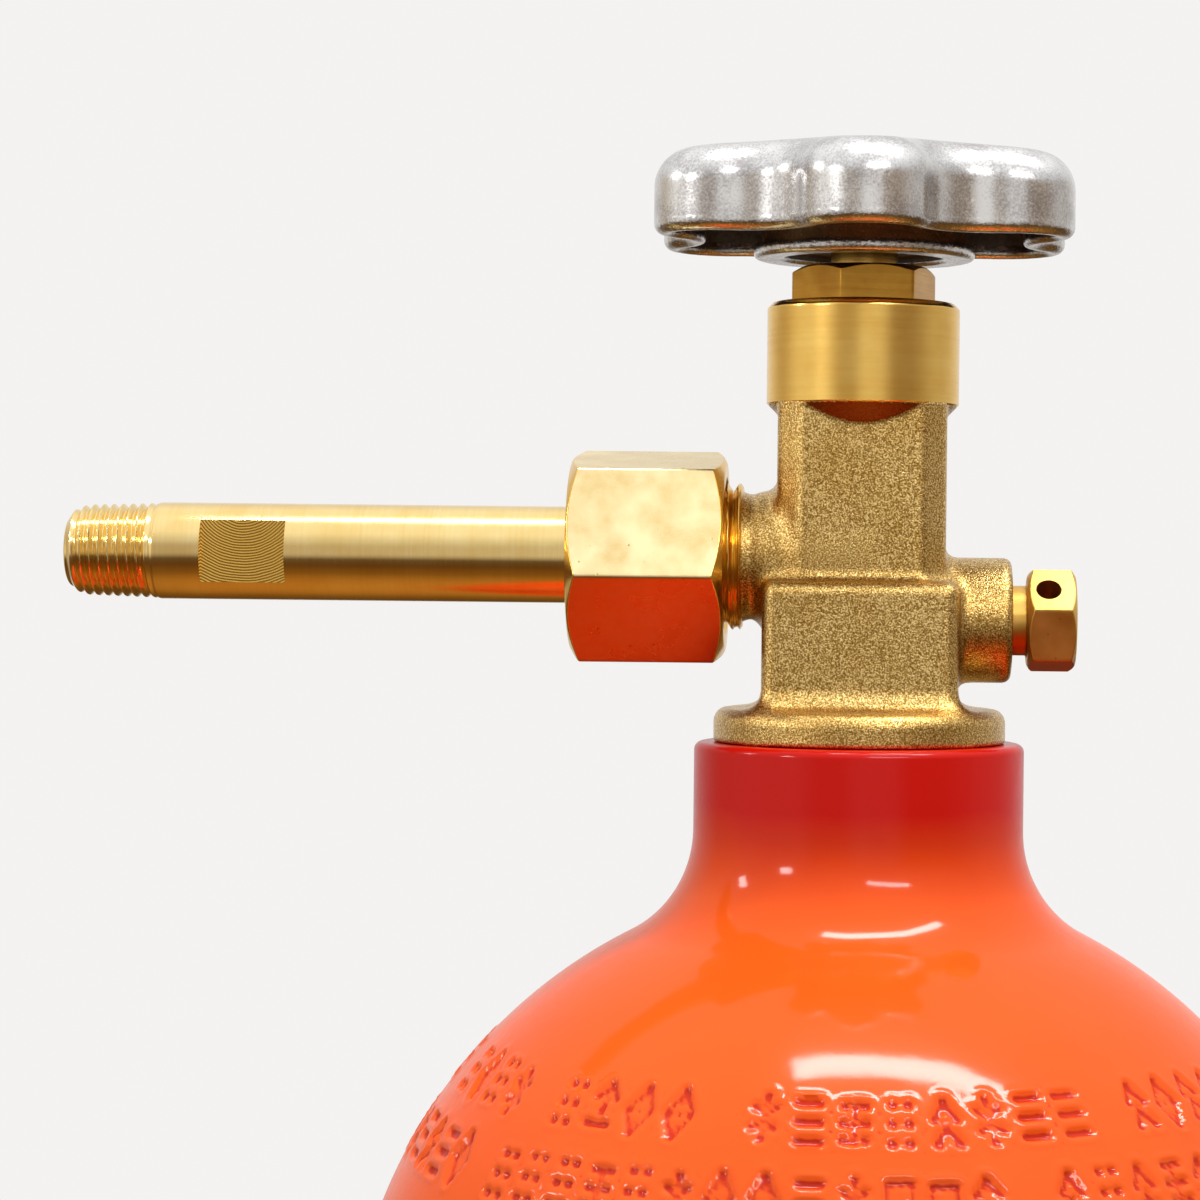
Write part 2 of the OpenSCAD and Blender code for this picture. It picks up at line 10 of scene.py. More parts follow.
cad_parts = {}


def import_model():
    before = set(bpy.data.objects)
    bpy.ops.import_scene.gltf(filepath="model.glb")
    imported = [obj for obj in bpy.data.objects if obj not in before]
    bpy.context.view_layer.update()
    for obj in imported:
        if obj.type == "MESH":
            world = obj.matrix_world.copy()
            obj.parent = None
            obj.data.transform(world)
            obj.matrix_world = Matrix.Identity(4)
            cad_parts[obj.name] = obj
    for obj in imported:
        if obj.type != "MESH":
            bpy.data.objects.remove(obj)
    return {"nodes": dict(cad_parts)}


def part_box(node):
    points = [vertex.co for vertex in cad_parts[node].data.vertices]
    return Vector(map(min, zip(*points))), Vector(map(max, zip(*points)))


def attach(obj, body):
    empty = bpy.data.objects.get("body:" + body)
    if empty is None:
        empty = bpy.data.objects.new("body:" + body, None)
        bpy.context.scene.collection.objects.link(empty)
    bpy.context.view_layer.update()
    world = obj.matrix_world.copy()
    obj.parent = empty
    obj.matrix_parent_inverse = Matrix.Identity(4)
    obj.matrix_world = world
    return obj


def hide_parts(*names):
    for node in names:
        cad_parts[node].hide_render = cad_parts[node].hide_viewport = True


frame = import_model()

MM = 0.001
TURN = 2 * math.pi


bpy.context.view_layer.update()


def box_mm(node):
    """The two corners of a CAD node's box, in millimetres."""
    low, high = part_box(node)
    return np.array(low) / MM, np.array(high) / MM


# ---------------- sizes, from the frame where it gives them

SHELL_HIGH = box_mm("cylinder_shell")[1]
BODY_LOW, BODY_HIGH = box_mm("valve_body")
BONNET_HIGH = box_mm("bonnet")[1]
WHEEL_LOW, WHEEL_HIGH = box_mm("handwheel")
NUT_LOW, NUT_HIGH = box_mm("union_nut")
NIPPLE_LOW, NIPPLE_HIGH = box_mm("nipple")
PLUG_LOW, PLUG_HIGH = box_mm("relief_plug")

NECK_TOP = SHELL_HIGH[2]
SHELL_R = SHELL_HIGH[0]
OUTLET_Z = (NIPPLE_LOW[2] + NIPPLE_HIGH[2]) / 2
RELIEF_RISE = 18.4
RELIEF_Z = NECK_TOP + RELIEF_RISE

NECK_R = 24.6
NECK_L = 13.0
NECK_EDGE_R = 1.2
NECK_FILLET_R = 17.6
NECK_HOLE_L = 28.0
BASE_EDGE_R = 14.0
DISH_R = 52.0
DISH_H = 14.0
STEM_R = 12.5
STEM_PITCH = 2.0
STEM_BORE_R = 4.5
STEM_THREAD_END = -4.0

FLANGE_R = BODY_HIGH[1]
FLANGE_T = 5.1
FLANGE_EDGE_R = 2.1
BLOCK_HALF = np.array([14.4, 14.0])
BLOCK_TOP = 24.0
BLOCK_CORNER_R = 2.2
BLOCK_EDGE_R = 1.7
COLUMN_HALF = np.array([12.5, 11.2])
COLUMN_FLAT = 9.0
CONE_H = 8.0
BARREL_R = 14.35
BARREL_BOTTOM = 50.4
BARREL_TOP = BODY_HIGH[2] - NECK_TOP
FIT_GAP = 0.05

OUTLET_BOSS_R = 9.7
OUTLET_BOSS_X = 18.2
OUTLET_THREAD_R = 10.9
OUTLET_PITCH = 1.814
OUTLET_MOUTH_R = 5.0
OUTLET_MOUTH_L = 5.0
PASSAGE_R = 2.5
RELIEF_BOSS_R = 9.25
RELIEF_BOSS_X = BODY_HIGH[0]

GLAND_ACROSS = 19.0
GLAND_TURN = 12.1
GLAND_SHANK_R = 9.0
GLAND_BORE_R = 5.06
UNION_ACROSS = 29.0
UNION_TURN = 19.2
PLUG_ACROSS = 13.9
PLUG_TURN = 17.4
PLUG_HEX_L = 7.2
PLUG_NECK_R = 5.2
PLUG_BORE_R = 2.2
PLUG_TIP_BORE_R = 0.6
VENT_D = 3.8
VENT_X = 3.0

NIPPLE_R = 7.2
NIPPLE_BORE_R = 3.2
COLLAR_R = 9.8
COLLAR_T = 3.5
PIPE_THREAD_L = 13.5
PIPE_PITCH = 1.411
PIPE_TAPER = 1 / 32
PIPE_TIP_R = 3.6
WRENCH_L = 12.5
WRENCH_GAP = 7.0
WRENCH_HALF = 5.55
PIPE_THREAD_X = -NIPPLE_LOW[0] - PIPE_THREAD_L
WRENCH_END_X = PIPE_THREAD_X - WRENCH_GAP
WRENCH_START_X = WRENCH_END_X - WRENCH_L
SWIRL_RISE = 8.5
SWIRL_PITCH = 0.40
RUN_GAP = 0.06

WHEEL_LOBE_AT = 24.2
WHEEL_LOBE_R = 9.7
WHEEL_HOLLOW_AT = 26.3
WHEEL_TURN = 30.0
WHEEL_EDGE_R = 5.2
WHEEL_EDGE_FINE_R = 1.5
WHEEL_SKIRT_RISE = 2.3
WHEEL_SKIRT_T = 2.6
WHEEL_WEB_T = 3.2
WHEEL_DOME_H = 1.5
HUB_R = 15.0
HUB_FLANGE_R = 16.5
HUB_RECESS_R = 11.9
HUB_RECESS_H = 1.5
NUT_RECESS_R = 9.0
NUT_RECESS_H = 7.0
SQUARE_HALF = 3.5


# ---------------- node trees

class Nodes:
    """Short names for adding and linking shader nodes."""

    MIX_COLORS = (6, 7)
    MIX_RESULT = 2

    def __init__(self, tree):
        self.tree = tree

    def add(self, kind, inputs=None, **settings):
        node = self.tree.nodes.new(kind)
        for name, value in settings.items():
            setattr(node, name, value)
        self.put_all(node, inputs or {})
        return node

    def put(self, socket, value):
        """Links a socket as the value of another one, or sets it to a number, a vector or a colour."""
        if isinstance(value, bpy.types.NodeSocket):
            self.tree.links.new(value, socket)
        else:
            socket.default_value = value

    def put_all(self, node, inputs):
        for name, value in inputs.items():
            self.put(node.inputs[name], value)

    def math(self, operation, *values):
        node = self.add("ShaderNodeMath", operation=operation)
        for socket, value in zip(node.inputs, values):
            self.put(socket, value)
        return node.outputs[0]

    def weigh(self, first, second, first_share, second_share):
        """Sum of two values, each times its share."""
        parts = ((first, first_share), (second, second_share))
        return self.math("ADD", *(self.math("MULTIPLY", value, share) for value, share in parts))

    def mix(self, share, first, second, blend="MIX"):
        """Goes from the first colour to the second as the share goes from 0 to 1."""
        node = self.add("ShaderNodeMix", {"Factor": share}, data_type="RGBA", blend_type=blend)
        for index, color in zip(self.MIX_COLORS, (first, second)):
            self.put(node.inputs[index], (*color, 1) if isinstance(color, tuple) else color)
        return node.outputs[self.MIX_RESULT]

    def blend_shaders(self, share, first, second):
        """Goes from the first shader to the second as the share goes from 0 to 1."""
        return self.add("ShaderNodeMixShader", {0: share, 1: first.outputs[0], 2: second.outputs[0]})

    def along(self, kind, axis):
        """One axis of a texture coordinate."""
        where = self.add("ShaderNodeTexCoord").outputs[kind]
        return self.add("ShaderNodeSeparateXYZ", {"Vector": where}).outputs[axis]

    def place(self, scale=(1, 1, 1)):
        """Object coordinates, scaled."""
        where = self.add("ShaderNodeTexCoord").outputs["Object"]
        return self.add("ShaderNodeMapping", {"Vector": where, "Scale": scale}).outputs[0]

    def noise(self, size_mm, detail=2.0, roughness=0.5, stretch=(1, 1, 1)):
        """Noise whose features are about size_mm across."""
        inputs = {"Vector": self.place(stretch), "Scale": 1 / (size_mm * MM)}
        inputs.update({"Detail": detail, "Roughness": roughness})
        return self.add("ShaderNodeTexNoise", inputs).outputs["Fac"]

    def cells(self, size_mm):
        """Distance from scattered points that are about size_mm apart."""
        inputs = {"Vector": self.place(), "Scale": 1 / (size_mm * MM)}
        return self.add("ShaderNodeTexVoronoi", inputs).outputs["Distance"]

    def ramp(self, value, *stops):
        node = self.add("ShaderNodeValToRGB", {"Fac": value})
        elements = node.color_ramp.elements
        for element, (position, color) in zip(elements, (stops[0], stops[-1])):
            element.position = position
            element.color = (*color, 1)
        for position, color in stops[1:-1]:
            elements.new(position).color = (*color, 1)
        return node.outputs["Color"]

    def span(self, value, low, high, to_low=0.0, to_high=1.0):
        """Value, stretched from low..high to to_low..to_high."""
        inputs = {"Value": value, "From Min": low, "From Max": high, "To Min": to_low, "To Max": to_high}
        return self.add("ShaderNodeMapRange", inputs).outputs["Result"]

    def bump(self, height, strength, distance_mm, normal=None):
        inputs = {"Height": height, "Strength": strength, "Distance": distance_mm * MM}
        if normal is not None:
            inputs["Normal"] = normal
        return self.add("ShaderNodeBump", inputs).outputs["Normal"]

    def finish(self, color, roughness, normal, metallic=1.0):
        """Fills in the shader; roughness is (value, low, high), and goes from low to high with the value."""
        value, low, high = roughness
        looks = {"Base Color": color, "Metallic": metallic, "Normal": normal}
        looks["Roughness"] = self.span(value, 0.3, 0.7, low, high)
        self.put_all(self.shader, looks)
        return self.material


def new_material(name):
    """The nodes of a new material with one principled shader."""
    material = bpy.data.materials.new(name)
    material.use_nodes = True
    material.node_tree.nodes.clear()
    nodes = Nodes(material.node_tree)
    nodes.material = material
    nodes.shader = nodes.add("ShaderNodeBsdfPrincipled")
    nodes.output = nodes.add("ShaderNodeOutputMaterial", {"Surface": nodes.shader.outputs["BSDF"]})
    return nodes


# ---------------- materials

ENAMEL_TONES = ((0.3, (0.76, 0.082, 0.005)), (0.7, (0.80, 0.096, 0.007)))
# Painted shade: a deeper red for the neck, which gets less light.
ENAMEL_NECK_SHADE = (0.56, 0.005, 0.0012)
# Painted shade: a darker red for the hollows of the stamped marks.
ENAMEL_HOLLOW_SHADE = (0.50, 0.022, 0.003)
# Grain tones whose bright end is a painted glint, not the brass's own colour.
BLASTED_GRAIN_AND_GLINT_TONES = ((0.36, (0.26, 0.14, 0.03)), (0.50, (0.54, 0.33, 0.09)), (0.62, (1.0, 0.76, 0.34)))
BLASTED_PATCH = (0.90, 0.84, 0.72)
# Painted shade and reflection: dark red-brown tones for the cone's underside under the barrel.
CONE_SHADE_TONES = ((0.35, (0.20, 0.06, 0.012)), (0.65, (0.34, 0.12, 0.03)))
TURNED_TONES = ((0.79, 0.475, 0.105), (0.86, 0.565, 0.15))
NIPPLE_TONES = ((0.83, 0.59, 0.22), (0.89, 0.68, 0.31))
# Painted shade: the gland nut is darker than the other turned brass, standing in for the shade under the
# wheel.
GLAND_SHADE_TONES = ((0.43, 0.20, 0.027), (0.57, 0.31, 0.05))
UNION_TONES = ((0.80, 0.60, 0.27), (0.88, 0.73, 0.41))
PLUG_TONES = ((0.66, 0.39, 0.085), (0.77, 0.50, 0.14))
BRASS_PIT = (0.42, 0.25, 0.07)
# Painted reflection: the red-painted shoulder as seen in brass faces that turn down.
BRASS_PAINTED_REFLECTION = (0.64, 0.32, 0.25)
# Painted sheen: light and dark tones for the end-mill arcs.
SWIRL_SHEEN_TONES = ((0.10, (0.36, 0.18, 0.025)), (0.7, (0.88, 0.56, 0.13)))
ALUMINIUM_TONES = ((0.40, (0.48, 0.46, 0.46)), (0.58, (0.74, 0.73, 0.72)))
# Painted shade for the wheel's hollow side and the recess under its hub.
WHEEL_SHADE_TONES = ((0.38, (0.13, 0.11, 0.10)), (0.62, (0.24, 0.21, 0.19)))


def paint_material():
    """Glossy orange-red enamel, slightly wavy, with painted shade: a deeper, darker red on the neck and in
    the hollows of the marks.
    """
    nodes = new_material("orange_enamel")
    shade = nodes.ramp(nodes.noise(38, detail=3), *ENAMEL_TONES)
    height = nodes.weigh(nodes.along("Object", "Z"), nodes.noise(14), 1, 0.004)
    # Painted shade: the neck is coloured deeper red, as if lit less.
    on_neck = nodes.span(height, (NECK_TOP - 20) * MM, (NECK_TOP - 7) * MM)
    bend = nodes.add("ShaderNodeNewGeometry").outputs["Pointiness"]
    # Painted shade: concave places, such as the hollows of the marks, are coloured darker red.
    in_hollows = nodes.span(bend, 0.495, 0.47)
    color = nodes.mix(in_hollows, nodes.mix(on_neck, shade, ENAMEL_NECK_SHADE), ENAMEL_HOLLOW_SHADE)
    peel = nodes.noise(1.6, detail=2)
    surface = nodes.bump(peel, 0.10, 0.05, nodes.bump(nodes.noise(9, detail=1), 0.22, 0.35))
    nodes.put_all(nodes.shader, {
        "Base Color": color, "Roughness": nodes.span(peel, 0.2, 0.8, 0.30, 0.40), "Specular IOR Level": 0.03,
        "Coat Weight": 0.36, "Coat Roughness": 0.09, "Normal": surface, "Coat Normal": surface,
    })
    return nodes.material


def forged_material():
    """Shot-blasted brass: matte, with grains that catch the light; the grains' light and dark colours are
    partly real grain and partly painted glints.
    """
    nodes = new_material("blasted_brass")
    grain = nodes.noise(0.24, detail=2, roughness=0.6)
    fine = nodes.noise(0.14, detail=1)
    patch = nodes.span(nodes.noise(9, detail=2), 0.35, 0.7)
    # Grain colour: partly real grain, partly painted glints.
    shade = nodes.ramp(grain, *BLASTED_GRAIN_AND_GLINT_TONES)
    color = nodes.mix(patch, shade, BLASTED_PATCH, "MULTIPLY")
    surface = nodes.bump(nodes.weigh(grain, fine, 1, 0.35), 0.58, 0.12)
    return nodes.finish(color, (fine, 0.25, 0.36), surface)


def cone_shade_material():
    """Painted shade and reflection for the underside of the cone under the barrel: a dark red-brown with a
    fine grain.
    """
    nodes = new_material("brass_cone_shade")
    grain = nodes.noise(0.3, detail=2, roughness=0.6)
    surface = nodes.bump(grain, 0.35, 0.1)
    return nodes.finish(nodes.ramp(grain, *CONE_SHADE_TONES), (grain, 0.35, 0.50), surface)


def turned_material(name, axis, tones=TURNED_TONES, roughness=(0.17, 0.27)):
    """Bright brass with the fine rings that a lathe tool leaves round an axis."""
    nodes = new_material(name)
    along = {"X": (1, 0.02, 0.02), "Z": (0.02, 0.02, 1)}[axis]
    rings = nodes.noise(0.11, detail=3, roughness=0.7, stretch=along)
    mixed = nodes.weigh(nodes.noise(0.5, detail=3, stretch=along), nodes.noise(5, detail=3), 0.35, 0.65)
    color = nodes.ramp(mixed, (0.35, tones[0]), (0.65, tones[1]))
    return nodes.finish(color, (rings, *roughness), nodes.bump(rings, 0.32, 0.02))


def drawn_material(name, tones, roughness):
    """Drawn hexagonal brass bar: long faint lines, a few pits, and a painted reflection of the red paint,
    which darkens and reddens faces turned down.
    """
    nodes = new_material(name)
    lines = nodes.noise(0.16, detail=3, roughness=0.6, stretch=(0.03, 1, 1))
    cross = nodes.noise(0.3, detail=2, stretch=(1, 0.1, 0.1))
    pit = nodes.span(nodes.cells(2.7), 0.02, 0.08)
    blotch = nodes.noise(4.5, detail=4)
    surface = nodes.bump(pit, 0.3, 0.06, nodes.bump(nodes.weigh(lines, cross, 0.5, 0.25), 0.16, 0.03))
    bare = nodes.mix(pit, BRASS_PIT, nodes.ramp(blotch, (0.35, tones[0]), (0.65, tones[1])))
    # Painted reflection and shade: faces turned down are multiplied toward dark red.
    turned_down = nodes.span(nodes.along("Normal", "Z"), -0.2, -0.5)
    color = nodes.mix(turned_down, bare, BRASS_PAINTED_REFLECTION, "MULTIPLY")
    return nodes.finish(color, (blotch, roughness, roughness + 0.1), surface)


def swirl_material(centre_mm):
    """Flat cut by an end mill, which leaves a row of arcs about a far centre (x, z); the arcs are a real
    tool-mark pattern, and their light and dark colours are painted sheen.
    """
    nodes = new_material("end_milled_brass")
    where = nodes.add("ShaderNodeTexCoord").outputs["Object"]
    flat = nodes.add("ShaderNodeVectorMath", {0: where, 1: (1, 0, 1)}, operation="MULTIPLY")
    centre = (centre_mm[0] * MM, 0, centre_mm[1] * MM)
    away = nodes.add("ShaderNodeVectorMath", {0: flat.outputs[0], 1: centre}, operation="DISTANCE")
    radius = nodes.weigh(away.outputs["Value"], nodes.noise(2.5, detail=2), 1, 0.35 * MM)
    wave = nodes.math("SINE", nodes.math("MULTIPLY", radius, TURN / (SWIRL_PITCH * MM)))
    height = nodes.span(wave, -1, 1)
    grain = nodes.noise(0.2, detail=2)
    surface = nodes.bump(height, 0.42, 0.05)
    # The arcs' light and dark colours are painted sheen over the real tool-mark pattern.
    return nodes.finish(nodes.ramp(height, *SWIRL_SHEEN_TONES), (grain, 0.24, 0.34), surface)


def aluminium_material():
    """Tumbled die casting: soft sheen, fine grain, a few pits, and beads along the skirt's lower edge."""
    nodes = new_material("cast_aluminium")
    grain = nodes.noise(0.36, detail=3, roughness=0.6)
    swell = nodes.noise(5, detail=2)
    pit = nodes.span(nodes.cells(2.4), 0.03, 0.16)
    edge_z = WHEEL_LOW[2] + WHEEL_SKIRT_RISE
    edge = nodes.span(nodes.along("Object", "Z"), (edge_z + 0.9) * MM, (edge_z + 2.0) * MM, 1.0, 0.0)
    beads = nodes.math("MULTIPLY", nodes.noise(0.9, detail=3, roughness=0.6), edge)
    surface = nodes.bump(grain, 0.20, 0.04, nodes.bump(swell, 0.14, 0.25, nodes.bump(pit, 0.25, 0.08)))
    surface = nodes.bump(beads, 0.5, 0.25, surface)
    color = nodes.ramp(nodes.weigh(grain, swell, 0.5, 0.5), *ALUMINIUM_TONES)
    return nodes.finish(color, (grain, 0.17, 0.28), surface)


def wheel_shade_material():
    """Inside of the wheel and the recess under its hub: rougher, and darker as painted shade."""
    nodes = new_material("aluminium_painted_shade")
    grain = nodes.noise(0.7, detail=4, roughness=0.6)
    stain = nodes.noise(7, detail=3)
    color = nodes.ramp(nodes.weigh(grain, stain, 0.5, 0.5), *WHEEL_SHADE_TONES)
    return nodes.finish(color, (grain, 0.45, 0.60), nodes.bump(grain, 0.45, 0.08))


def plain_material(name, low, high, metallic, roughness):
    """Small hidden or half hidden pieces: two close tones and a fine grain."""
    nodes = new_material(name)
    grain = nodes.noise(0.8, detail=3)
    color = nodes.ramp(grain, (0.35, low), (0.65, high))
    surface = nodes.bump(grain, 0.2, 0.03)
    return nodes.finish(color, (grain, roughness, roughness + 0.1), surface, metallic)


# ---------------- mesh helpers

def upright(points, z=NECK_TOP):
    """A piece drawn about +Z, raised; most pieces stand on the neck."""
    return points + np.array([0, 0, z])


def toward_outlet(points):
    """A piece drawn along +Z, turned to run from the valve axis along -X."""
    return np.stack([-points[..., 2], points[..., 1], points[..., 0] + OUTLET_Z], -1)


def toward_relief(points):
    """A piece drawn along +Z, turned to run from the valve axis along +X."""
    return np.stack([points[..., 2], points[..., 1], RELIEF_Z - points[..., 0]], -1)


def skin(rings, low_pole=False, high_pole=False):
    """Points and faces that join rings of equal length, closed into a loop or by a point at each end."""
    count, around = rings.shape[:2]
    points = rings.reshape(-1, 3)
    first = np.arange(around)
    second = (first + 1) % around
    pairs = count if not (low_pole or high_pole) else count - 1
    faces = []
    for row in range(pairs):
        low = row * around
        high = ((row + 1) % count) * around
        faces.append(np.stack([low + first, low + second, high + second, high + first], 1))
    faces = [list(f) for f in np.concatenate(faces)]
    for wanted, row in ((low_pole, 0), (high_pole, count - 1)):
        if wanted:
            centre = len(points)
            points = np.vstack([points, rings[row].mean(0)])
            ends = (first, second) if row else (second, first)
            faces += [[row * around + a, row * around + b, centre] for a, b in zip(*ends)]
    return points, faces


def ring_points(radius, height, angles):
    """One ring; radius and height are numbers, or one value for each angle."""
    radius = np.broadcast_to(radius, angles.shape)
    height = np.broadcast_to(height, angles.shape)
    return np.stack([radius * np.cos(angles), radius * np.sin(angles), height], -1)


def rings_of(rows, angles):
    """One ring for each (radius, height)."""
    return np.stack([ring_points(radius, height, angles) for radius, height in rows])


def even_angles(count):
    return np.arange(count) * TURN / count


def in_scene(name, data):
    """An object for a mesh, a lamp or a camera, linked to the scene."""
    item = bpy.data.objects.new(name, data)
    bpy.context.scene.collection.objects.link(item)
    return item


def new_object(name, points, faces):
    """A mesh object in the scene, from points in millimetres."""
    mesh = bpy.data.meshes.new(name)
    mesh.from_pydata((np.asarray(points) * MM).tolist(), [], [[int(i) for i in f] for f in faces])
    return in_scene(name, mesh)


def face_out(mesh):
    """Turns the normals of a closed mesh outward."""
    work = bmesh.new()
    work.from_mesh(mesh)
    bmesh.ops.recalc_face_normals(work, faces=work.faces)
    work.to_mesh(mesh)
    work.free()


def build(name, points, faces, body, nodes, slot, materials, sharp_deg=35, weighted=False):
    """Makes a piece, hangs it on its body, and hides the CAD nodes that it stands in for."""
    piece = new_object(name, points, faces)
    face_out(piece.data)
    for material in materials:
        piece.data.materials.append(material)
    soften(piece, sharp_deg, weighted)
    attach(piece, body)
    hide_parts(*nodes)
    return piece


def turned_piece(name, rows, angles, place, body, node, materials, closed=False, **soft):
    """Builds a brass piece from its rows (radius, height), drawn about +Z and then put in place."""
    points, faces = skin(rings_of(rows, angles), closed, closed)
    return build(name, place(points), faces, body, [node], "turned_brass", materials, **soft)


def paint_faces(piece, chosen):
    """Gives the second material to the faces for which chosen(face) is true."""
    for polygon in piece.data.polygons:
        if chosen(polygon):
            polygon.material_index = 1


def soften(piece, sharp_deg, weighted):
    """Smooth shading, broken at edges sharper than sharp_deg, and held flat on large faces if weighted."""
    piece.data.shade_smooth()
    if sharp_deg:
        piece.data.set_sharp_from_angle(angle=math.radians(sharp_deg))
    if weighted:
        flatten = piece.modifiers.new("flat faces", "WEIGHTED_NORMAL")
        flatten.keep_sharp = True
        apply_modifiers(piece)


def apply_modifiers(piece):
    bpy.context.view_layer.objects.active = piece
    for modifier in list(piece.modifiers):
        bpy.ops.object.modifier_apply(modifier=modifier.name)


def arc(centre, radius, start_deg, end_deg, step_mm):
    """Points (radius, height) along an arc, about step_mm apart."""
    length = abs(math.radians(end_deg - start_deg)) * radius
    count = max(3, int(round(length / step_mm)) + 1)
    turn = np.radians(np.linspace(start_deg, end_deg, count))
    return [(centre[0] + radius * math.cos(a), centre[1] + radius * math.sin(a)) for a in turn]


# ---------------- hexagons and threads

HEX_CORNER_DEG = 3.0
HEX_BEVEL_DEG = 30.0
THREAD_FLAT = 0.10
THREAD_FLANK = 0.78


def hex_angles(turn_deg, corner_points=5, face_points=6):
    """Angles round a hexagon, close together at its six corners."""
    near = np.radians(np.linspace(-HEX_CORNER_DEG, HEX_CORNER_DEG, corner_points))
    far = np.radians(np.linspace(HEX_CORNER_DEG, 60 - HEX_CORNER_DEG, face_points + 2))[1:-1]
    one = np.concatenate([near, far])
    return np.concatenate([one + k * TURN / 6 for k in range(6)]) + math.radians(turn_deg)


def hex_radius(angles, across, turn_deg, corner_r=0.35):
    """Distance from the axis to a hexagon with slightly rounded corners."""
    off = np.abs((angles - math.radians(turn_deg) + math.pi / 6) % (math.pi / 3) - math.pi / 6)
    centre = (across / 2 - corner_r) / math.cos(math.pi / 6)
    flat = across / 2 / np.cos(math.pi / 6 - off)
    inside = np.maximum(corner_r ** 2 - (centre * np.sin(off)) ** 2, 0)
    curve = centre * np.cos(off) + np.sqrt(inside)
    return np.minimum(flat, np.where(inside > 0, curve, flat))


def hex_rows(radius, across, low, high, edge=0.12, face_in=0.3):
    """Outer rows of a hexagonal bar whose ends are bevelled."""
    slope = math.tan(math.radians(HEX_BEVEL_DEG))
    face = across / 2 - face_in
    drop = (radius - face) * slope
    ease = edge * slope
    return [
        (face - edge, low), (face + edge, low + ease), (radius - edge, low + drop - ease),
        (radius, low + drop + edge), (radius, high - drop - edge), (radius - edge, high - drop + ease),
        (face + edge, high - ease), (face - edge, high),
    ]


def thread_radius(angles, height, crest_r, depth, pitch):
    """Radius of a right-handed thread with slightly flattened crests and roots."""
    phase = (height / pitch - angles / TURN) % 1.0
    ridge = np.clip((1 - np.abs(2 * phase - 1) - THREAD_FLAT) / THREAD_FLANK, 0, 1)
    return crest_r - depth * ridge


def thread_rows(angles, low, high, crest, depth, pitch, steps=14):
    """Rows of a thread from low to high; crest and depth are functions of the height."""
    count = int(math.ceil((high - low) / pitch * steps))
    return [
        (thread_radius(angles, h, crest(h), depth(h), pitch), h) for h in np.linspace(low, high, count + 1)
    ]


# ---------------- solids from distance fields

SETTLE_ROUNDS = 2
SETTLE_PROBE = 0.02
SETTLE_STEP = 0.2
LEAST_SLOPE = 0.25


def smooth_min(a, b, blend):
    """Two solids joined, with the corner between them filled over about `blend`."""
    near = np.maximum(blend - np.abs(a - b), 0) / blend
    return np.minimum(a, b) - near * near * blend / 4


def smooth_max(a, b, blend):
    """What two solids share, with the edge between them eased over about `blend`."""
    return -smooth_min(-a, -b, blend)


def round_max(a, b, radius):
    """Where two half spaces meet, with the edge between them rounded to a radius."""
    u = np.maximum(a + radius, 0)
    v = np.maximum(b + radius, 0)
    return np.minimum(np.maximum(a, b), -radius) + np.sqrt(u * u + v * v)


def surface_net(field, low, high, step):
    """Points and quads on the zero surface of field(x, y, z), which is negative inside."""
    axes = [np.arange(a, b + step, step) for a, b in zip(low, high)]
    grid = field(*np.meshgrid(*axes, indexing="ij"))
    shape = np.array(grid.shape) - 1
    corner = {
        c: grid[c[0]:c[0] + shape[0], c[1]:c[1] + shape[1], c[2]:c[2] + shape[2]]
        for c in product((0, 1), repeat=3)
    }
    below = sum((v < 0).astype(np.int8) for v in corner.values())
    active = (below > 0) & (below < 8)
    cell = np.full(active.shape, -1, np.int64)
    cell[active] = np.arange(active.sum())
    total = np.zeros((active.sum(), 3))
    hits = np.zeros(active.sum())
    for start in product((0, 1), repeat=3):
        for axis in range(3):
            if start[axis]:
                continue
            end = tuple(1 if i == axis else start[i] for i in range(3))
            a = corner[start][active]
            b = corner[end][active]
            crossed = (a < 0) != (b < 0)
            share = np.where(crossed, a / np.where(crossed, a - b, 1), 0)
            point = np.array(start, float) + share[:, None] * np.eye(3)[axis]
            total += np.where(crossed[:, None], point, 0)
            hits += crossed
    points = np.stack(np.nonzero(active), 1) + total / hits[:, None]
    points = points * step + np.array([a[0] for a in axes])
    return points, net_faces(grid, cell)


def net_faces(grid, cell):
    """One quad for each grid edge that crosses the surface."""
    faces = []
    for axis in range(3):
        one, two = [i for i in range(3) if i != axis]
        a = np.moveaxis(grid, axis, 0)
        crossed = (a[:-1] < 0) != (a[1:] < 0)
        crossed = np.moveaxis(crossed, 0, axis)
        index = np.stack(np.nonzero(crossed), 1)
        index = index[(index[:, one] > 0) & (index[:, two] > 0)]
        index = index[np.all(index < np.array(cell.shape), axis=1)]
        around = []
        for back_one, back_two in ((0, 0), (1, 0), (1, 1), (0, 1)):
            at = index.copy()
            at[:, one] -= back_one
            at[:, two] -= back_two
            around.append(cell[at[:, 0], at[:, 1], at[:, 2]])
        faces.append(np.stack(around, 1))
    faces = np.concatenate(faces)
    return faces[np.all(faces >= 0, axis=1)]


def settle(points, field):
    """Moves points onto the zero surface along its slope."""
    steps = SETTLE_PROBE * np.eye(3)
    for _ in range(SETTLE_ROUNDS):
        value = field(*points.T)
        rise = [field(*(points + step).T) - field(*(points - step).T) for step in steps]
        slope = np.stack(rise, 1) / (2 * SETTLE_PROBE)
        length = np.maximum((slope ** 2).sum(1), LEAST_SLOPE)
        points = points - np.clip(value / length, -SETTLE_STEP, SETTLE_STEP)[:, None] * slope
    return points


# ---------------- the cylinder

MARK_ROWS_DEG = (49.8, 59.0)
MARK_BAND_DEG = (44.5, 64.5)
MARK_PITCH = 6.0
MARK_H = 3.7
MARK_W = 1.8
MARK_DEPTH = 0.62
MARK_STROKE = 0.6
MARK_LIP = 0.28
MARK_SEED = 7
MARK_GROUP = 4
MARK_GAP_SHARE = 0.3


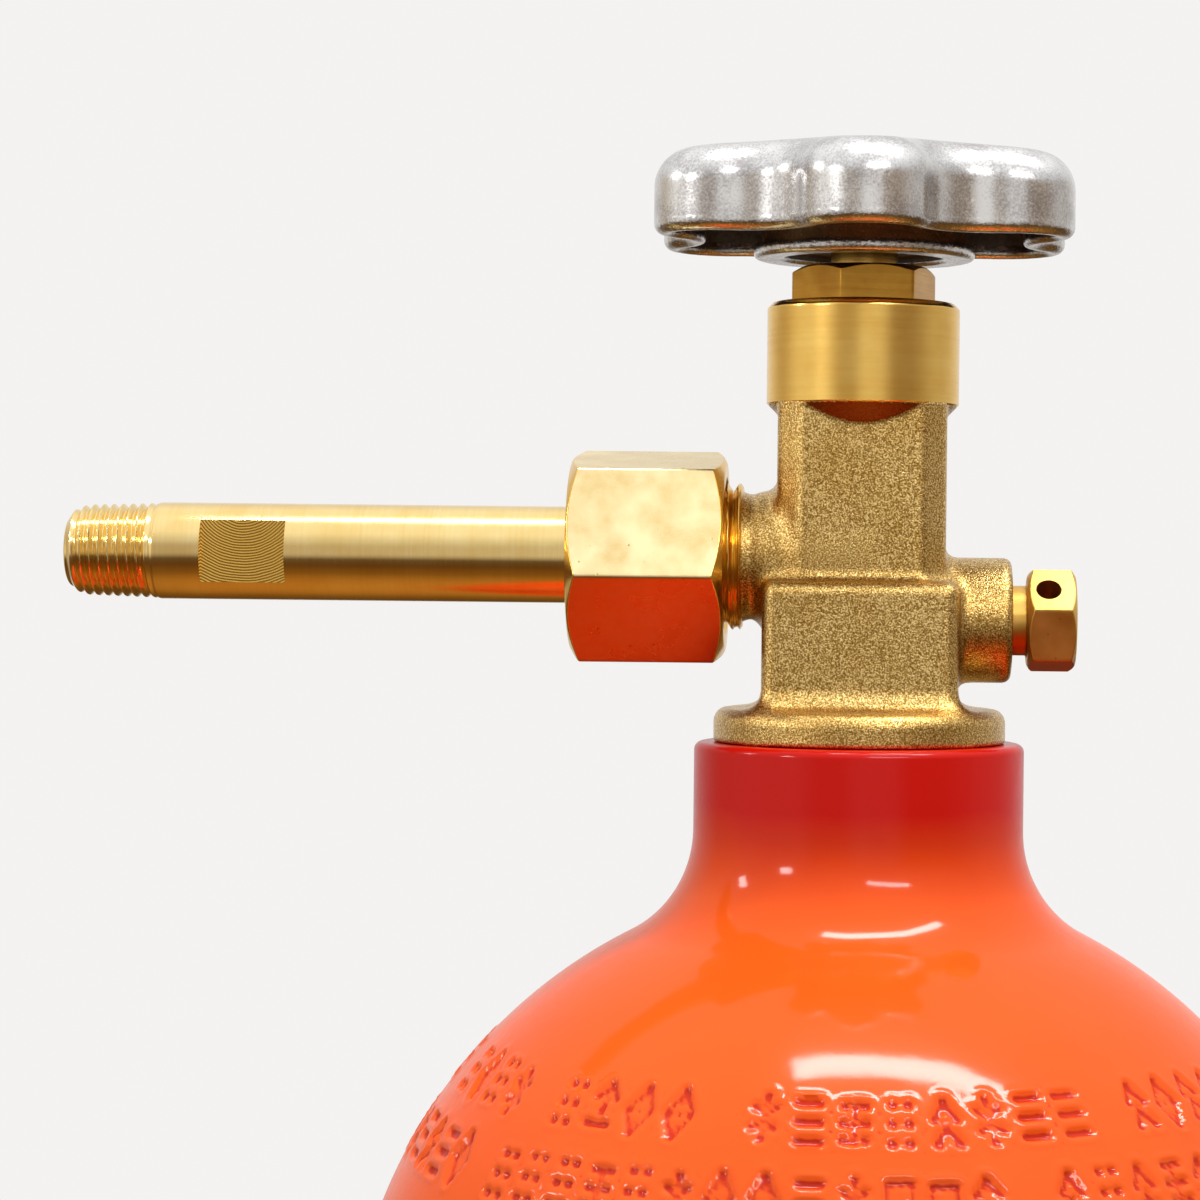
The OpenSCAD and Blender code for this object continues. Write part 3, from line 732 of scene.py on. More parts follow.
def mark_shapes():
    """Plain symbols, none of them a letter or a digit, as strokes in a box of half sizes 1 by 1."""
    cross = [(0, 0.75, 0, -0.75), (-0.85, 0, 0.85, 0)]
    kite = [(0, 1, 1, 0), (1, 0, 0, -1), (0, -1, -1, 0), (-1, 0, 0, 1), *cross]
    arrow = [(0, 0.9, 0, -0.3), (-0.9, 0.3, 0, 0.9), (0, 0.9, 0.9, 0.3), (-0.9, -0.8, 0.9, -0.8)]
    waffle = [(-0.9, y, 0.9, y) for y in (-0.75, 0.75)] + [(x, -0.75, x, 0.75) for x in (-0.9, 0.9)] + cross
    chevrons = [(-0.8, y, 0, y + 0.8) for y in (-0.9, 0.1)] + [(0, y + 0.8, 0.8, y) for y in (-0.9, 0.1)]
    bars = [(-0.8, y, 0.8, y) for y in (-0.8, 0, 0.8)]
    dots = [(x, y, x, y + 0.02) for x in (-0.6, 0.6) for y in (-0.8, 0, 0.8)]
    star = [(0, 0.9, 0, -0.9), (-0.8, 0.45, 0.8, -0.45), (-0.8, -0.45, 0.8, 0.45)]
    flower = [(x, y, x, y + 0.02) for x in (-0.75, 0.75) for y in (-0.7, 0.7)] + cross
    return [kite, arrow, waffle, chevrons, bars, dots, star, flower]


def stroke_distance(x, y, stroke):
    """Distance to a straight stroke from (x0, y0) to (x1, y1)."""
    x0, y0, x1, y1 = stroke
    dx, dy = x1 - x0, y1 - y0
    along = np.clip(((x - x0) * dx + (y - y0) * dy) / (dx * dx + dy * dy), 0, 1)
    return np.hypot(x - x0 - along * dx, y - y0 - along * dy)


def pressed_mark(x, y, shape):
    """Depth of one mark of unit size: a groove along its strokes, with a low lip beside it."""
    gap = np.full(x.shape, 9.0)
    for stroke in shape:
        gap = np.minimum(gap, stroke_distance(x, y, np.multiply(stroke, (MARK_W, MARK_H, MARK_W, MARK_H))))
    groove = np.exp(-(gap / MARK_STROKE) ** 4 / 2)
    lip = -MARK_LIP * np.exp(-((gap - 1.9 * MARK_STROKE) / (0.7 * MARK_STROKE)) ** 2)
    return groove + lip


def mark_depth(angle, slope_deg):
    """How far the stamped marks push the shoulder in, at an angle round it and a slope down it."""
    depth = np.zeros(angle.shape)
    shapes = mark_shapes()
    rng = np.random.default_rng(MARK_SEED)
    for row_deg in MARK_ROWS_DEG:
        radius = SHELL_R * math.sin(math.radians(row_deg))
        count = int(TURN * radius / MARK_PITCH)
        down = (slope_deg - row_deg) * math.radians(1) * SHELL_R
        group = 0
        for k in range(count):
            group += 1
            if group > MARK_GROUP and rng.random() < MARK_GAP_SHARE:
                group = 0
                continue
            shape = shapes[rng.integers(len(shapes))]
            size = MARK_DEPTH * rng.uniform(0.75, 1.1)
            lean = rng.uniform(-0.06, 0.06)
            lift = rng.uniform(-0.4, 0.4)
            off = (angle - k * TURN / count + math.pi) % TURN - math.pi
            near = (np.abs(off) * radius < MARK_PITCH) & (np.abs(down) < MARK_H + 2)
            x = off[near] * radius + lean * down[near]
            y = -(down[near] + lift)
            depth[near] += size * pressed_mark(x, y, shape)
    return depth


def shell_profile():
    """Outline of the shell, from the neck's hole over the shoulder to the middle of the base."""
    fillet_x = NECK_R + NECK_FILLET_R
    fillet_z = NECK_TOP - NECK_L
    reach = SHELL_R + NECK_FILLET_R
    centre_z = fillet_z - math.sqrt(reach ** 2 - fillet_x ** 2)
    meet_deg = math.degrees(math.asin(fillet_x / reach))
    hole_r = STEM_R + FIT_GAP
    edge_x = SHELL_R - BASE_EDGE_R
    dish_r = (DISH_R ** 2 + DISH_H ** 2) / (2 * DISH_H)
    dish_deg = math.degrees(math.asin(DISH_R / dish_r))
    low_deg, high_deg = MARK_BAND_DEG
    shoulder = []
    for start, end, step in ((meet_deg, low_deg, 1.4), (low_deg, high_deg, 0.5), (high_deg, 90, 2.2)):
        part = arc((0, centre_z), SHELL_R, 90 - start, 90 - end, step)
        shoulder += part[1:] if shoulder else part
    profile = [(hole_r, NECK_TOP - NECK_HOLE_L), (hole_r, NECK_TOP - 1), (hole_r + 1, NECK_TOP)]
    profile += arc((NECK_R - NECK_EDGE_R, NECK_TOP - NECK_EDGE_R), NECK_EDGE_R, 90, 0, 0.35)
    profile += arc((fillet_x, fillet_z), NECK_FILLET_R, 180, 270 - meet_deg, 0.8)[:-1]
    profile += shoulder
    profile += [(SHELL_R, z) for z in np.linspace(centre_z, BASE_EDGE_R, 8)[1:-1]]
    profile += arc((edge_x, BASE_EDGE_R), BASE_EDGE_R, 0, -90, 1.2)
    profile += [(DISH_R + 1.2, 0), (DISH_R + 0.4, 0.12)]
    profile += arc((0, DISH_H - dish_r), dish_r, 90 - dish_deg, 89.5, 5)
    return profile, centre_z


def cylinder_shell(material):
    """The painted cylinder, with marks pressed into its shoulder."""
    profile, centre_z = shell_profile()
    angles = even_angles(576)
    rings = rings_of(profile, angles)
    rise = rings[..., 2] - centre_z
    slope = np.degrees(np.arccos(np.clip(rise / SHELL_R, -1, 1)))
    radius = np.hypot(rings[..., 0], rings[..., 1])
    on_ball = np.abs(np.hypot(radius, rise) - SHELL_R) < 0.01
    band = on_ball & (slope > MARK_BAND_DEG[0]) & (slope < MARK_BAND_DEG[1]) & (rise > 0)
    azimuth = np.arctan2(rings[..., 0], -rings[..., 1])
    depth = mark_depth(azimuth[band], slope[band])
    inward = rings[band] - np.array([0, 0, centre_z])
    rings[band] -= inward / SHELL_R * depth[:, None]
    points, faces = skin(rings, low_pole=True, high_pole=True)
    build("gas_cylinder", points, faces, "root", ["cylinder_shell"], "paint", [material], sharp_deg=60)


# ---------------- the valve's forging

CASTING_STEP = 0.42


def block_field(x, y, z):
    """Distance to the square block, whose upright corners are rounded."""
    bx = np.abs(x) - (BLOCK_HALF[0] - BLOCK_CORNER_R)
    by = np.abs(y) - (BLOCK_HALF[1] - BLOCK_CORNER_R)
    inner = np.minimum(np.maximum(bx, by), 0)
    wall = inner + np.hypot(np.maximum(bx, 0), np.maximum(by, 0)) - BLOCK_CORNER_R
    return np.maximum(round_max(wall, z - BLOCK_TOP, BLOCK_EDGE_R), 1 - z)


def column_field(x, y, z):
    """Distance to the column, which has bevelled corners and widens into a cone under the barrel."""
    facet = (COLUMN_FLAT + COLUMN_HALF[1]) / math.sqrt(2)
    sides = smooth_max(np.abs(x) - COLUMN_HALF[0], np.abs(y) - COLUMN_HALF[1], 1.0)
    column = smooth_max(sides, (np.abs(x) + np.abs(y)) / math.sqrt(2) - facet, 0.9)
    above = z - BARREL_BOTTOM + FIT_GAP
    column = np.maximum(np.maximum(column, above), 2 - z)
    cone = (np.hypot(x, y) - BARREL_R + 0.1 + BARREL_BOTTOM - z) / math.sqrt(2)
    cone = np.maximum(np.maximum(cone, above), BARREL_BOTTOM - CONE_H - z)
    return smooth_min(column, cone, 0.4)


def outlet_field(x, y, z):
    """Distance to the round boss toward -X, which has a shallow waist behind its end."""
    rho = np.hypot(y, z - (OUTLET_Z - NECK_TOP))
    waist = 0.45 * np.exp(-((x + OUTLET_BOSS_X - 1.9) / 1.1) ** 2)
    return np.maximum(round_max(rho - OUTLET_BOSS_R + waist, -x - OUTLET_BOSS_X, 0.7), x)


def relief_field(x, y, z):
    """Distance to the round boss toward +X."""
    rho = np.hypot(y, z - (RELIEF_Z - NECK_TOP))
    return np.maximum(round_max(rho - RELIEF_BOSS_R, x - RELIEF_BOSS_X + FIT_GAP, 1.3), -x)


def casting_field(x, y, z):
    """Distance to the forged body above the neck: a flange, with the other parts blended onto it in turn."""
    rim = round_max(np.hypot(x, y) - FLANGE_R, z - FLANGE_T, FLANGE_EDGE_R)
    solid = smooth_max(rim, 0.06 - z, 0.5)
    for part, blend in ((block_field, 3.4), (column_field, 1.9), (outlet_field, 2.4), (relief_field, 2.0)):
        solid = smooth_min(solid, part(x, y, z), blend)
    seam = 0.09 * np.exp(-(y / 0.35) ** 2) * (np.abs(x) > 9)
    return solid - seam


def valve_casting(materials):
    """The forged body, with its second material on the cone's underside."""
    low = (-FLANGE_R - 1, -FLANGE_R - 1, -0.6)
    high = (RELIEF_BOSS_X + 1, FLANGE_R + 1, BARREL_BOTTOM + 1)
    points, faces = surface_net(casting_field, low, high, CASTING_STEP)
    points = upright(settle(points, casting_field))
    piece = build("valve_forging", points, faces, "root", ["valve_body"], "forged_brass", materials, None)
    cone_z = (NECK_TOP + BARREL_BOTTOM - CONE_H / 2) * MM

    def under_barrel(face):
        return face.center.z > cone_z and face.normal.z < -0.4 and abs(face.center.x) < COLUMN_FLAT * MM

    # The cone's underside gets the painted shade and reflection material.
    paint_faces(piece, under_barrel)


def valve_barrel(material):
    """The turned top of the body, with an eased rim and a shallow recess round the gland nut."""
    inner_r = 6.0
    recess_r = GLAND_ACROSS / 2 + 1.9
    rows = [
        (inner_r, BARREL_BOTTOM - 0.2), (BARREL_R - 0.2, BARREL_BOTTOM - 0.2), (BARREL_R, BARREL_BOTTOM),
        (BARREL_R, BARREL_BOTTOM + 0.4), (BARREL_R, BARREL_TOP - 1.3), (BARREL_R, BARREL_TOP - 0.95),
        (BARREL_R - 0.08, BARREL_TOP - 0.78), (BARREL_R - 0.75, BARREL_TOP - 0.1),
        (BARREL_R - 0.92, BARREL_TOP - 0.02), (recess_r, BARREL_TOP - 0.02),
        (recess_r - 0.1, BARREL_TOP - 0.2), (inner_r, BARREL_TOP - 0.2),
    ]
    angles = even_angles(160)
    turned_piece("valve_barrel", rows, angles, upright, "root", "valve_body", [material], closed=True)


def outlet_thread(material):
    """The threaded end of the outlet, with its mouth and passage."""
    face_x = -BODY_LOW[0]
    start = OUTLET_BOSS_X - 0.6
    mouth_end = face_x - OUTLET_MOUTH_L
    angles = even_angles(132)

    def crest(h):
        return min(OUTLET_THREAD_R, OUTLET_THREAD_R - 1.3 + (face_x - h))

    def depth(h):
        fade = min(max((h - start - 0.4) / 0.9, 0), 1)
        return 1.12 * fade * min(1, (face_x - h) / 1.2)

    rows = [(OUTLET_THREAD_R - 2.25, start), (OUTLET_THREAD_R - 0.5, start + 0.02)]
    rows += thread_rows(angles, start + 0.35, face_x, crest, depth, OUTLET_PITCH)
    rows += [(OUTLET_MOUTH_R + 0.3, face_x), (OUTLET_MOUTH_R, face_x - 0.3), (OUTLET_MOUTH_R, mouth_end)]
    rows += [(PASSAGE_R, mouth_end - 0.2), (PASSAGE_R, start)]
    turned_piece("outlet_thread", rows, angles, toward_outlet, "root", "valve_body", [material])


def valve_stem(material):
    """The threaded stem inside the neck, with a groove for the O-ring at its top."""
    bottom = BODY_LOW[2] - NECK_TOP
    groove_r = STEM_R - 1.2
    angles = even_angles(96)

    def crest(h):
        return min(STEM_R, STEM_R - 1.4 + (h - bottom))

    rows = [(STEM_BORE_R, bottom), (STEM_R - 1.6, bottom)]
    rows += thread_rows(angles, bottom + 0.4, STEM_THREAD_END, crest, lambda h: 1.0, STEM_PITCH, 10)
    rows += [(groove_r, -3.6), (groove_r, -2.9), (STEM_R, -2.7), (STEM_R, 0.3), (PASSAGE_R, 0.3)]
    rows += [(PASSAGE_R, bottom + 22), (STEM_BORE_R, bottom + 21.5)]
    turned_piece("valve_stem", rows, angles, upright, "root", "valve_body", [material])


def gland_nut(material):
    """The hexagon on top of the barrel, with its plain shank below."""
    angles = hex_angles(GLAND_TURN)
    radius = hex_radius(angles, GLAND_ACROSS, GLAND_TURN)
    low = BARREL_TOP
    high = BONNET_HIGH[2] - NECK_TOP
    rows = [(GLAND_BORE_R, low - 14), (GLAND_SHANK_R, low - 14), (GLAND_SHANK_R, low - 0.2)]
    rows += [(radius - 0.15, low - 0.2), (radius, low)]
    rows += hex_rows(radius, GLAND_ACROSS, low, high)[4:]
    rows += [(GLAND_BORE_R + 0.5, high), (GLAND_BORE_R, high - 0.5)]
    turned_piece("gland_nut", rows, angles, upright, "root", "bonnet", [material], weighted=True)


# ---------------- union nut and nipple

def union_nut(materials):
    """The large hexagon that holds the nipple, with its second material on the turned ends."""
    near = -NUT_HIGH[0]
    far = -NUT_LOW[0]
    shoulder = -NIPPLE_HIGH[0] + COLLAR_T + FIT_GAP
    bore = OUTLET_THREAD_R + RUN_GAP
    hole = NIPPLE_R + RUN_GAP
    angles = hex_angles(UNION_TURN, corner_points=7, face_points=8)
    radius = hex_radius(angles, UNION_ACROSS, UNION_TURN, 0.4)
    rows = hex_rows(radius, UNION_ACROSS, near, far, edge=0.14, face_in=0.5)
    rows += [(hole + 0.6, far), (hole, far - 0.5), (hole, shoulder)]
    rows += [(bore, shoulder), (bore, near + 1.2), (bore + 1.0, near)]
    nut = "union_nut"
    piece = turned_piece("union_nut_bar", rows, angles, toward_outlet, nut, nut, materials, weighted=True)
    paint_faces(piece, lambda face: abs(face.normal.x) > 0.2)


def nipple_angles():
    """Angles round the nipple, with points where the wrench flats run out."""
    edge = math.acos(WRENCH_HALF / NIPPLE_R)
    flats = [math.pi / 2, 3 * math.pi / 2]
    stops = sorted((f + s) % TURN for f in flats for s in (-edge, edge))
    angles = []
    for low, high in zip(stops, stops[1:] + [stops[0] + TURN]):
        count = max(8, int(round((high - low) / TURN * 144)))
        angles.extend(np.linspace(low, high, count, endpoint=False))
    return np.array(angles)


def pipe_thread_rows(angles, end):
    """Rows of the tapered thread, whose tip is rounded."""
    def crest(h):
        taper = NIPPLE_R - 0.12 - (h - PIPE_THREAD_X) * PIPE_TAPER
        into = max(h - (end - PIPE_TIP_R), 0)
        return taper - (PIPE_TIP_R - math.sqrt(max(PIPE_TIP_R ** 2 - into ** 2, 0))) * 0.6

    def depth(h):
        return 0.64 * min(max((h - PIPE_THREAD_X) / 2.0, 0), 1) * min(1, 0.25 + (end - h) / 3)

    return thread_rows(angles, PIPE_THREAD_X, end, crest, depth, PIPE_PITCH, 16)


def nipple_rows(angles):
    """The nipple from its collar to its threaded tip, and back along its bore."""
    near = -NIPPLE_HIGH[0]
    end = -NIPPLE_LOW[0]
    collar_end = near + COLLAR_T
    across = np.maximum(np.abs(np.sin(angles)), 0.05)
    flat = np.minimum(NIPPLE_R, WRENCH_HALF / across)
    rows = [(NIPPLE_BORE_R + 0.4, near), (COLLAR_R - 0.4, near), (COLLAR_R, near + 0.4)]
    rows += [(COLLAR_R, collar_end - 0.2), (COLLAR_R - 0.2, collar_end)]
    rows += [(NIPPLE_R + 0.3, collar_end), (NIPPLE_R, collar_end + 0.4)]
    rows += [(NIPPLE_R, h) for h in np.linspace(near + 5, WRENCH_START_X - 0.01, 12)]
    rows += [(flat, WRENCH_START_X + 0.01)]
    rows += [(flat, h) for h in np.linspace(WRENCH_START_X + 0.5, WRENCH_END_X - 0.5, 6)]
    rows += [(flat, WRENCH_END_X - 0.01), (NIPPLE_R, WRENCH_END_X + 0.01)]
    rows += [(NIPPLE_R, PIPE_THREAD_X - 0.3), (NIPPLE_R - 0.05, PIPE_THREAD_X - 0.05)]
    rows += pipe_thread_rows(angles, end)
    rows += [(NIPPLE_BORE_R + 0.6, end), (NIPPLE_BORE_R, end - 0.6), (NIPPLE_BORE_R, near + 0.4)]
    return rows


def on_wrench_flat(face):
    x = -face.center.x / MM
    y = abs(face.center.y) / MM
    return WRENCH_START_X < x < WRENCH_END_X and y < WRENCH_HALF + 0.03 and abs(face.normal.y) > 0.99


def nipple(materials):
    """The tube, with its second material on the two wrench flats."""
    angles = nipple_angles()
    rows = nipple_rows(angles)
    tube = "nipple"
    piece = turned_piece("nipple_tube", rows, angles, toward_outlet, tube, tube, materials, sharp_deg=28)
    paint_faces(piece, on_wrench_flat)


# ---------------- bursting-disc plug

def relief_plug(material):
    """The hexagonal plug, with one hole along it and one across it."""
    tip = PLUG_LOW[0]
    end = PLUG_HIGH[0]
    hex_at = end - PLUG_HEX_L
    angles = hex_angles(PLUG_TURN)
    radius = hex_radius(angles, PLUG_ACROSS, PLUG_TURN, 0.3)
    rows = [(PLUG_BORE_R, tip), (PLUG_NECK_R, tip), (PLUG_NECK_R, hex_at - 0.3), (PLUG_NECK_R + 0.3, hex_at)]
    rows += hex_rows(radius, PLUG_ACROSS, hex_at, end, edge=0.10, face_in=0.35)
    rows += [(PLUG_TIP_BORE_R, end), (PLUG_TIP_BORE_R, end - 2.0), (PLUG_BORE_R, end - 2.6)]
    node = "relief_plug"
    piece = turned_piece("vented_plug", rows, angles, toward_relief, "root", node, [material], sharp_deg=None)
    cut(piece, *vent_cutter(hex_at + VENT_X, PLUG_TURN + 30))
    soften(piece, 25, True)


def vent_cutter(at, turn_deg):
    """A rod across the plug, at right angles to one pair of its flats."""
    rows = [(VENT_D / 2, -PLUG_ACROSS), (VENT_D / 2, PLUG_ACROSS)]
    points, faces = skin(rings_of(rows, even_angles(48)), low_pole=True, high_pole=True)
    turn = math.radians(turn_deg)
    side = np.array([math.cos(turn), math.sin(turn), 0])
    up = np.array([0, 0, 1])
    across = np.cross(up, side)
    turned = points[:, :1] * across + points[:, 1:2] * up + points[:, 2:] * side
    return toward_relief(upright(turned, at)), faces


def cut(piece, points, faces):
    """Takes the solid with these points and faces away from a piece."""
    tool = new_object("cutter", points, faces)
    face_out(tool.data)
    modifier = piece.modifiers.new("cut", "BOOLEAN")
    modifier.operation = "DIFFERENCE"
    modifier.solver = "EXACT"
    modifier.object = tool
    apply_modifiers(piece)
    bpy.data.objects.remove(tool)


# ---------------- handwheel

WHEEL_STEP = 0.46
WHEEL_H = WHEEL_HIGH[2] - WHEEL_LOW[2]
HUB_FLARE_H = 4.2
HUB_FLARE_L = 2.6


def wheel_outline(x, y):
    """Distance to the wheel's outline: lobes joined by hollows that meet them without a corner."""
    half = math.pi / 6
    gain = WHEEL_HOLLOW_AT - WHEEL_LOBE_R
    hollow_at = (WHEEL_LOBE_AT ** 2 - gain ** 2) / (2 * (WHEEL_LOBE_AT * math.cos(half) - gain))
    hollow_r = hollow_at - WHEEL_HOLLOW_AT
    angle = (np.arctan2(y, x) - math.radians(WHEEL_TURN) + half) % (2 * half) - half
    rho = np.hypot(x, y)
    px = rho * np.cos(angle)
    py = np.abs(rho * np.sin(angle))
    cx, cy = hollow_at * math.cos(half), hollow_at * math.sin(half)
    to_lobe = np.hypot(px - WHEEL_LOBE_AT, py) - WHEEL_LOBE_R
    to_hollow = hollow_r - np.hypot(px - cx, py - cy)
    side = (px - WHEEL_LOBE_AT) * cy - py * (cx - WHEEL_LOBE_AT)
    return np.where(side > 0, to_lobe, to_hollow)


def wheel_shell(x, y, z):
    """Distance to the domed web and the skirt below it."""
    outline = wheel_outline(x, y)
    dome = z - WHEEL_H + WHEEL_DOME_H * (np.hypot(x, y) / 28) ** 2
    outside = round_max(outline, dome, WHEEL_EDGE_R)
    outside = round_max(outside, WHEEL_SKIRT_RISE - z, WHEEL_EDGE_FINE_R)
    roof = z - WHEEL_H + WHEEL_WEB_T + WHEEL_DOME_H
    hollow = round_max(outline + WHEEL_SKIRT_T, roof, 2.5)
    return smooth_max(outside, -hollow, 0.8)


def wheel_field(x, y, z):
    """Distance to the handwheel, with z measured from the bottom of its hub."""
    rho = np.hypot(x, y)
    flare = (HUB_FLANGE_R - HUB_R) * np.clip((HUB_FLARE_H - z) / HUB_FLARE_L, 0, 1)
    hub = round_max(rho - HUB_R - flare, -z + 0.02, 0.7)
    hub = np.maximum(hub, z - WHEEL_H + 3)
    solid = smooth_min(wheel_shell(x, y, z), hub, 2.0)
    under = round_max(rho - HUB_RECESS_R, z - HUB_RECESS_H, 0.4)
    top = round_max(rho - NUT_RECESS_R, WHEEL_H - NUT_RECESS_H - z, 0.6)
    solid = smooth_max(solid, -under, 0.5)
    solid = smooth_max(solid, -top, 1.0)
    square = np.maximum(np.abs(x), np.abs(y)) - SQUARE_HALF
    return np.maximum(solid, -square)


def inside_wheel(centre):
    """Which of these places on the wheel lie on its hollow side, or in the recess under its hub."""
    rho = np.hypot(centre[:, 0], centre[:, 1])
    z = centre[:, 2]
    hollow = wheel_outline(centre[:, 0], centre[:, 1]) < -WHEEL_SKIRT_T + 0.25
    hollow &= (rho > HUB_R - 0.3) & (z > 4.5) & (z < WHEEL_H - WHEEL_WEB_T + 0.3)
    return hollow | ((rho < HUB_RECESS_R) & (z < 2))


def handwheel(materials):
    """The cast wheel, with its second material, a painted shade, on its hollow side and in the recess under
    its hub.
    """
    reach = WHEEL_LOBE_AT + WHEEL_LOBE_R + 1
    low = (-reach, -reach, -1)
    high = (reach, reach, WHEEL_H + 1)
    points, faces = surface_net(wheel_field, low, high, WHEEL_STEP)
    points = settle(points, wheel_field)
    points[:, 2] = np.minimum(points[:, 2], WHEEL_H)
    inside = inside_wheel(points[faces].mean(1))
    points = upright(points, WHEEL_LOW[2])
    wheel = "handwheel"
    piece = build("cast_handwheel", points, faces, wheel, [wheel], "cast_aluminium", materials, None)
    piece.data.polygons.foreach_set("material_index", inside.astype(np.int32))


# ---------------- studio

BACKDROP = (0.90, 0.89, 0.88)
FLOOR = (0.74, 0.72, 0.70, 1)
FLOOR_Z = -0.4
CEILING_Z = 1.75
AIM = (0, 0, 0.42)
FILL_TONES = ((0.3, (0.17, 0.16, 0.15)), (0.8, (0.56, 0.56, 0.57)))
ROOM_TONES = (
    (0.0, (0.52, 0.24, 0.05)), (0.11, (0.24, 0.11, 0.02)), (0.24, (0.13, 0.06, 0.015)),
    (0.37, (0.14, 0.095, 0.055)), (0.46, (0.34, 0.30, 0.25)), (0.52, (0.55, 0.53, 0.50)),
    (0.66, (0.72, 0.71, 0.70)), (0.74, (0.84, 0.84, 0.84)), (0.85, (1.15, 1.15, 1.15)),
    (1.0, (1.2, 1.2, 1.2)),
)
WALL_TONES = (
    (0.12, (0.60, 0.54, 0.46)), (0.20, (0.58, 0.50, 0.40)), (0.27, (0.90, 0.86, 0.80)),
    (0.38, (0.92, 0.89, 0.85)), (0.42, (0.55, 0.49, 0.42)), (0.47, (0.54, 0.48, 0.42)),
    (0.50, (0.88, 0.86, 0.83)), (0.56, (0.82, 0.79, 0.76)), (0.60, (0.36, 0.28, 0.21)),
    (0.67, (0.36, 0.28, 0.21)), (0.75, (0.62, 0.58, 0.54)), (0.88, (0.66, 0.63, 0.58)),
)


def world():
    """Pale room: it shows as the background, and gives a soft light that is stronger from above."""
    tree = bpy.data.worlds.new("pale room")
    bpy.context.scene.world = tree
    tree.use_nodes = True
    tree.node_tree.nodes.clear()
    nodes = Nodes(tree.node_tree)
    path = nodes.add("ShaderNodeLightPath").outputs
    seen = nodes.math("MAXIMUM", path["Is Camera Ray"], path["Is Transmission Ray"])
    way = [nodes.along("Generated", axis) for axis in "XYZ"]
    fill = nodes.ramp(nodes.span(way[2], -1, 1), *FILL_TONES)
    sides = nodes.span(nodes.math("ABSOLUTE", way[0]), 0, 1, 1.0, 1.7)
    light = nodes.add("ShaderNodeBackground", {"Color": fill, "Strength": sides})
    shown = nodes.add("ShaderNodeBackground", {"Color": (*BACKDROP, 1), "Strength": 1.0})
    mirrored = nodes.add("ShaderNodeBackground", {"Color": room_tone(nodes, *way), "Strength": 1.0})
    first = nodes.blend_shaders(path["Is Glossy Ray"], light, mirrored)
    nodes.add("ShaderNodeOutputWorld", {"Surface": nodes.blend_shaders(seen, first, shown).outputs[0]})


def room_tone(nodes, x, y, z):
    """What metal sees: a bright ceiling, walls in tall light and dark stretches, a dark warm lower half."""
    room = nodes.ramp(nodes.span(z, -1, 1), *ROOM_TONES)
    side = nodes.math("ARCTAN2", x, nodes.math("MULTIPLY", y, -1))
    walls = nodes.ramp(nodes.span(side, -math.pi, math.pi), *WALL_TONES)
    level = nodes.math("ABSOLUTE", nodes.math("SUBTRACT", z, 0.05))
    mixed = nodes.mix(nodes.span(level, 0.34, 0.12), room, walls)
    behind = nodes.math("MULTIPLY", nodes.span(y, 0.45, 0.9), nodes.span(z, -0.35, -0.05))
    return nodes.mix(behind, mixed, BACKDROP)


def floor():
    """A wide plain floor that fades out far from the cylinder."""
    rings = rings_of([(r, FLOOR_Z) for r in (40, 200, 600, 1500)], even_angles(64))
    plane = new_object("floor", *skin(rings[::-1], high_pole=True))
    nodes = new_material("pale floor")
    nodes.put_all(nodes.shader, {"Base Color": FLOOR, "Roughness": 0.6})
    where = nodes.add("ShaderNodeTexCoord").outputs["Object"]
    far = nodes.add("ShaderNodeVectorMath", {0: where}, operation="LENGTH")
    fade = nodes.span(far.outputs["Value"], 0.12, 0.40)
    clear = nodes.add("ShaderNodeBsdfTransparent")
    nodes.put_all(nodes.output, {"Surface": nodes.blend_shaders(fade, nodes.shader, clear).outputs[0]})
    plane.data.materials.append(nodes.material)
    plane.visible_glossy = False


def softbox(name, at, aim, width, height, watts):
    """A rectangular lamp at one place, turned toward another, in metres."""
    light = bpy.data.lights.new(name, "AREA")
    light.shape = "RECTANGLE"
    light.size = width
    light.size_y = height
    light.energy = watts
    lamp = in_scene(name, light)
    lamp.location = at
    lamp.rotation_euler = (Vector(aim) - Vector(at)).to_track_quat("-Z", "Y").to_euler()


def lights():
    """One long lamp overhead, one in front, and two small windows to the left."""
    softbox("ceiling above", (0.28, -0.15, CEILING_Z), (0.28, 0, AIM[2]), 1.10, 0.14, 20)
    softbox("strip in front", (0.58, -1.45, 1.36), AIM, 0.85, 0.10, 8)
    softbox("left window", (-1.38, -0.10, 1.00), AIM, 0.14, 0.20, 2.5)
    softbox("front left window", (-1.05, -0.85, 0.87), AIM, 0.20, 0.12, 2.5)


CAMERA_DISTANCE = 492.0
CAMERA_HEIGHT = 26.0
CAMERA_ROLL_DEG = 0.62
LENS_MM = 98.88
SHIFT_X = -0.2175
SHIFT_Y = -0.02667
SENSOR_MM = 36


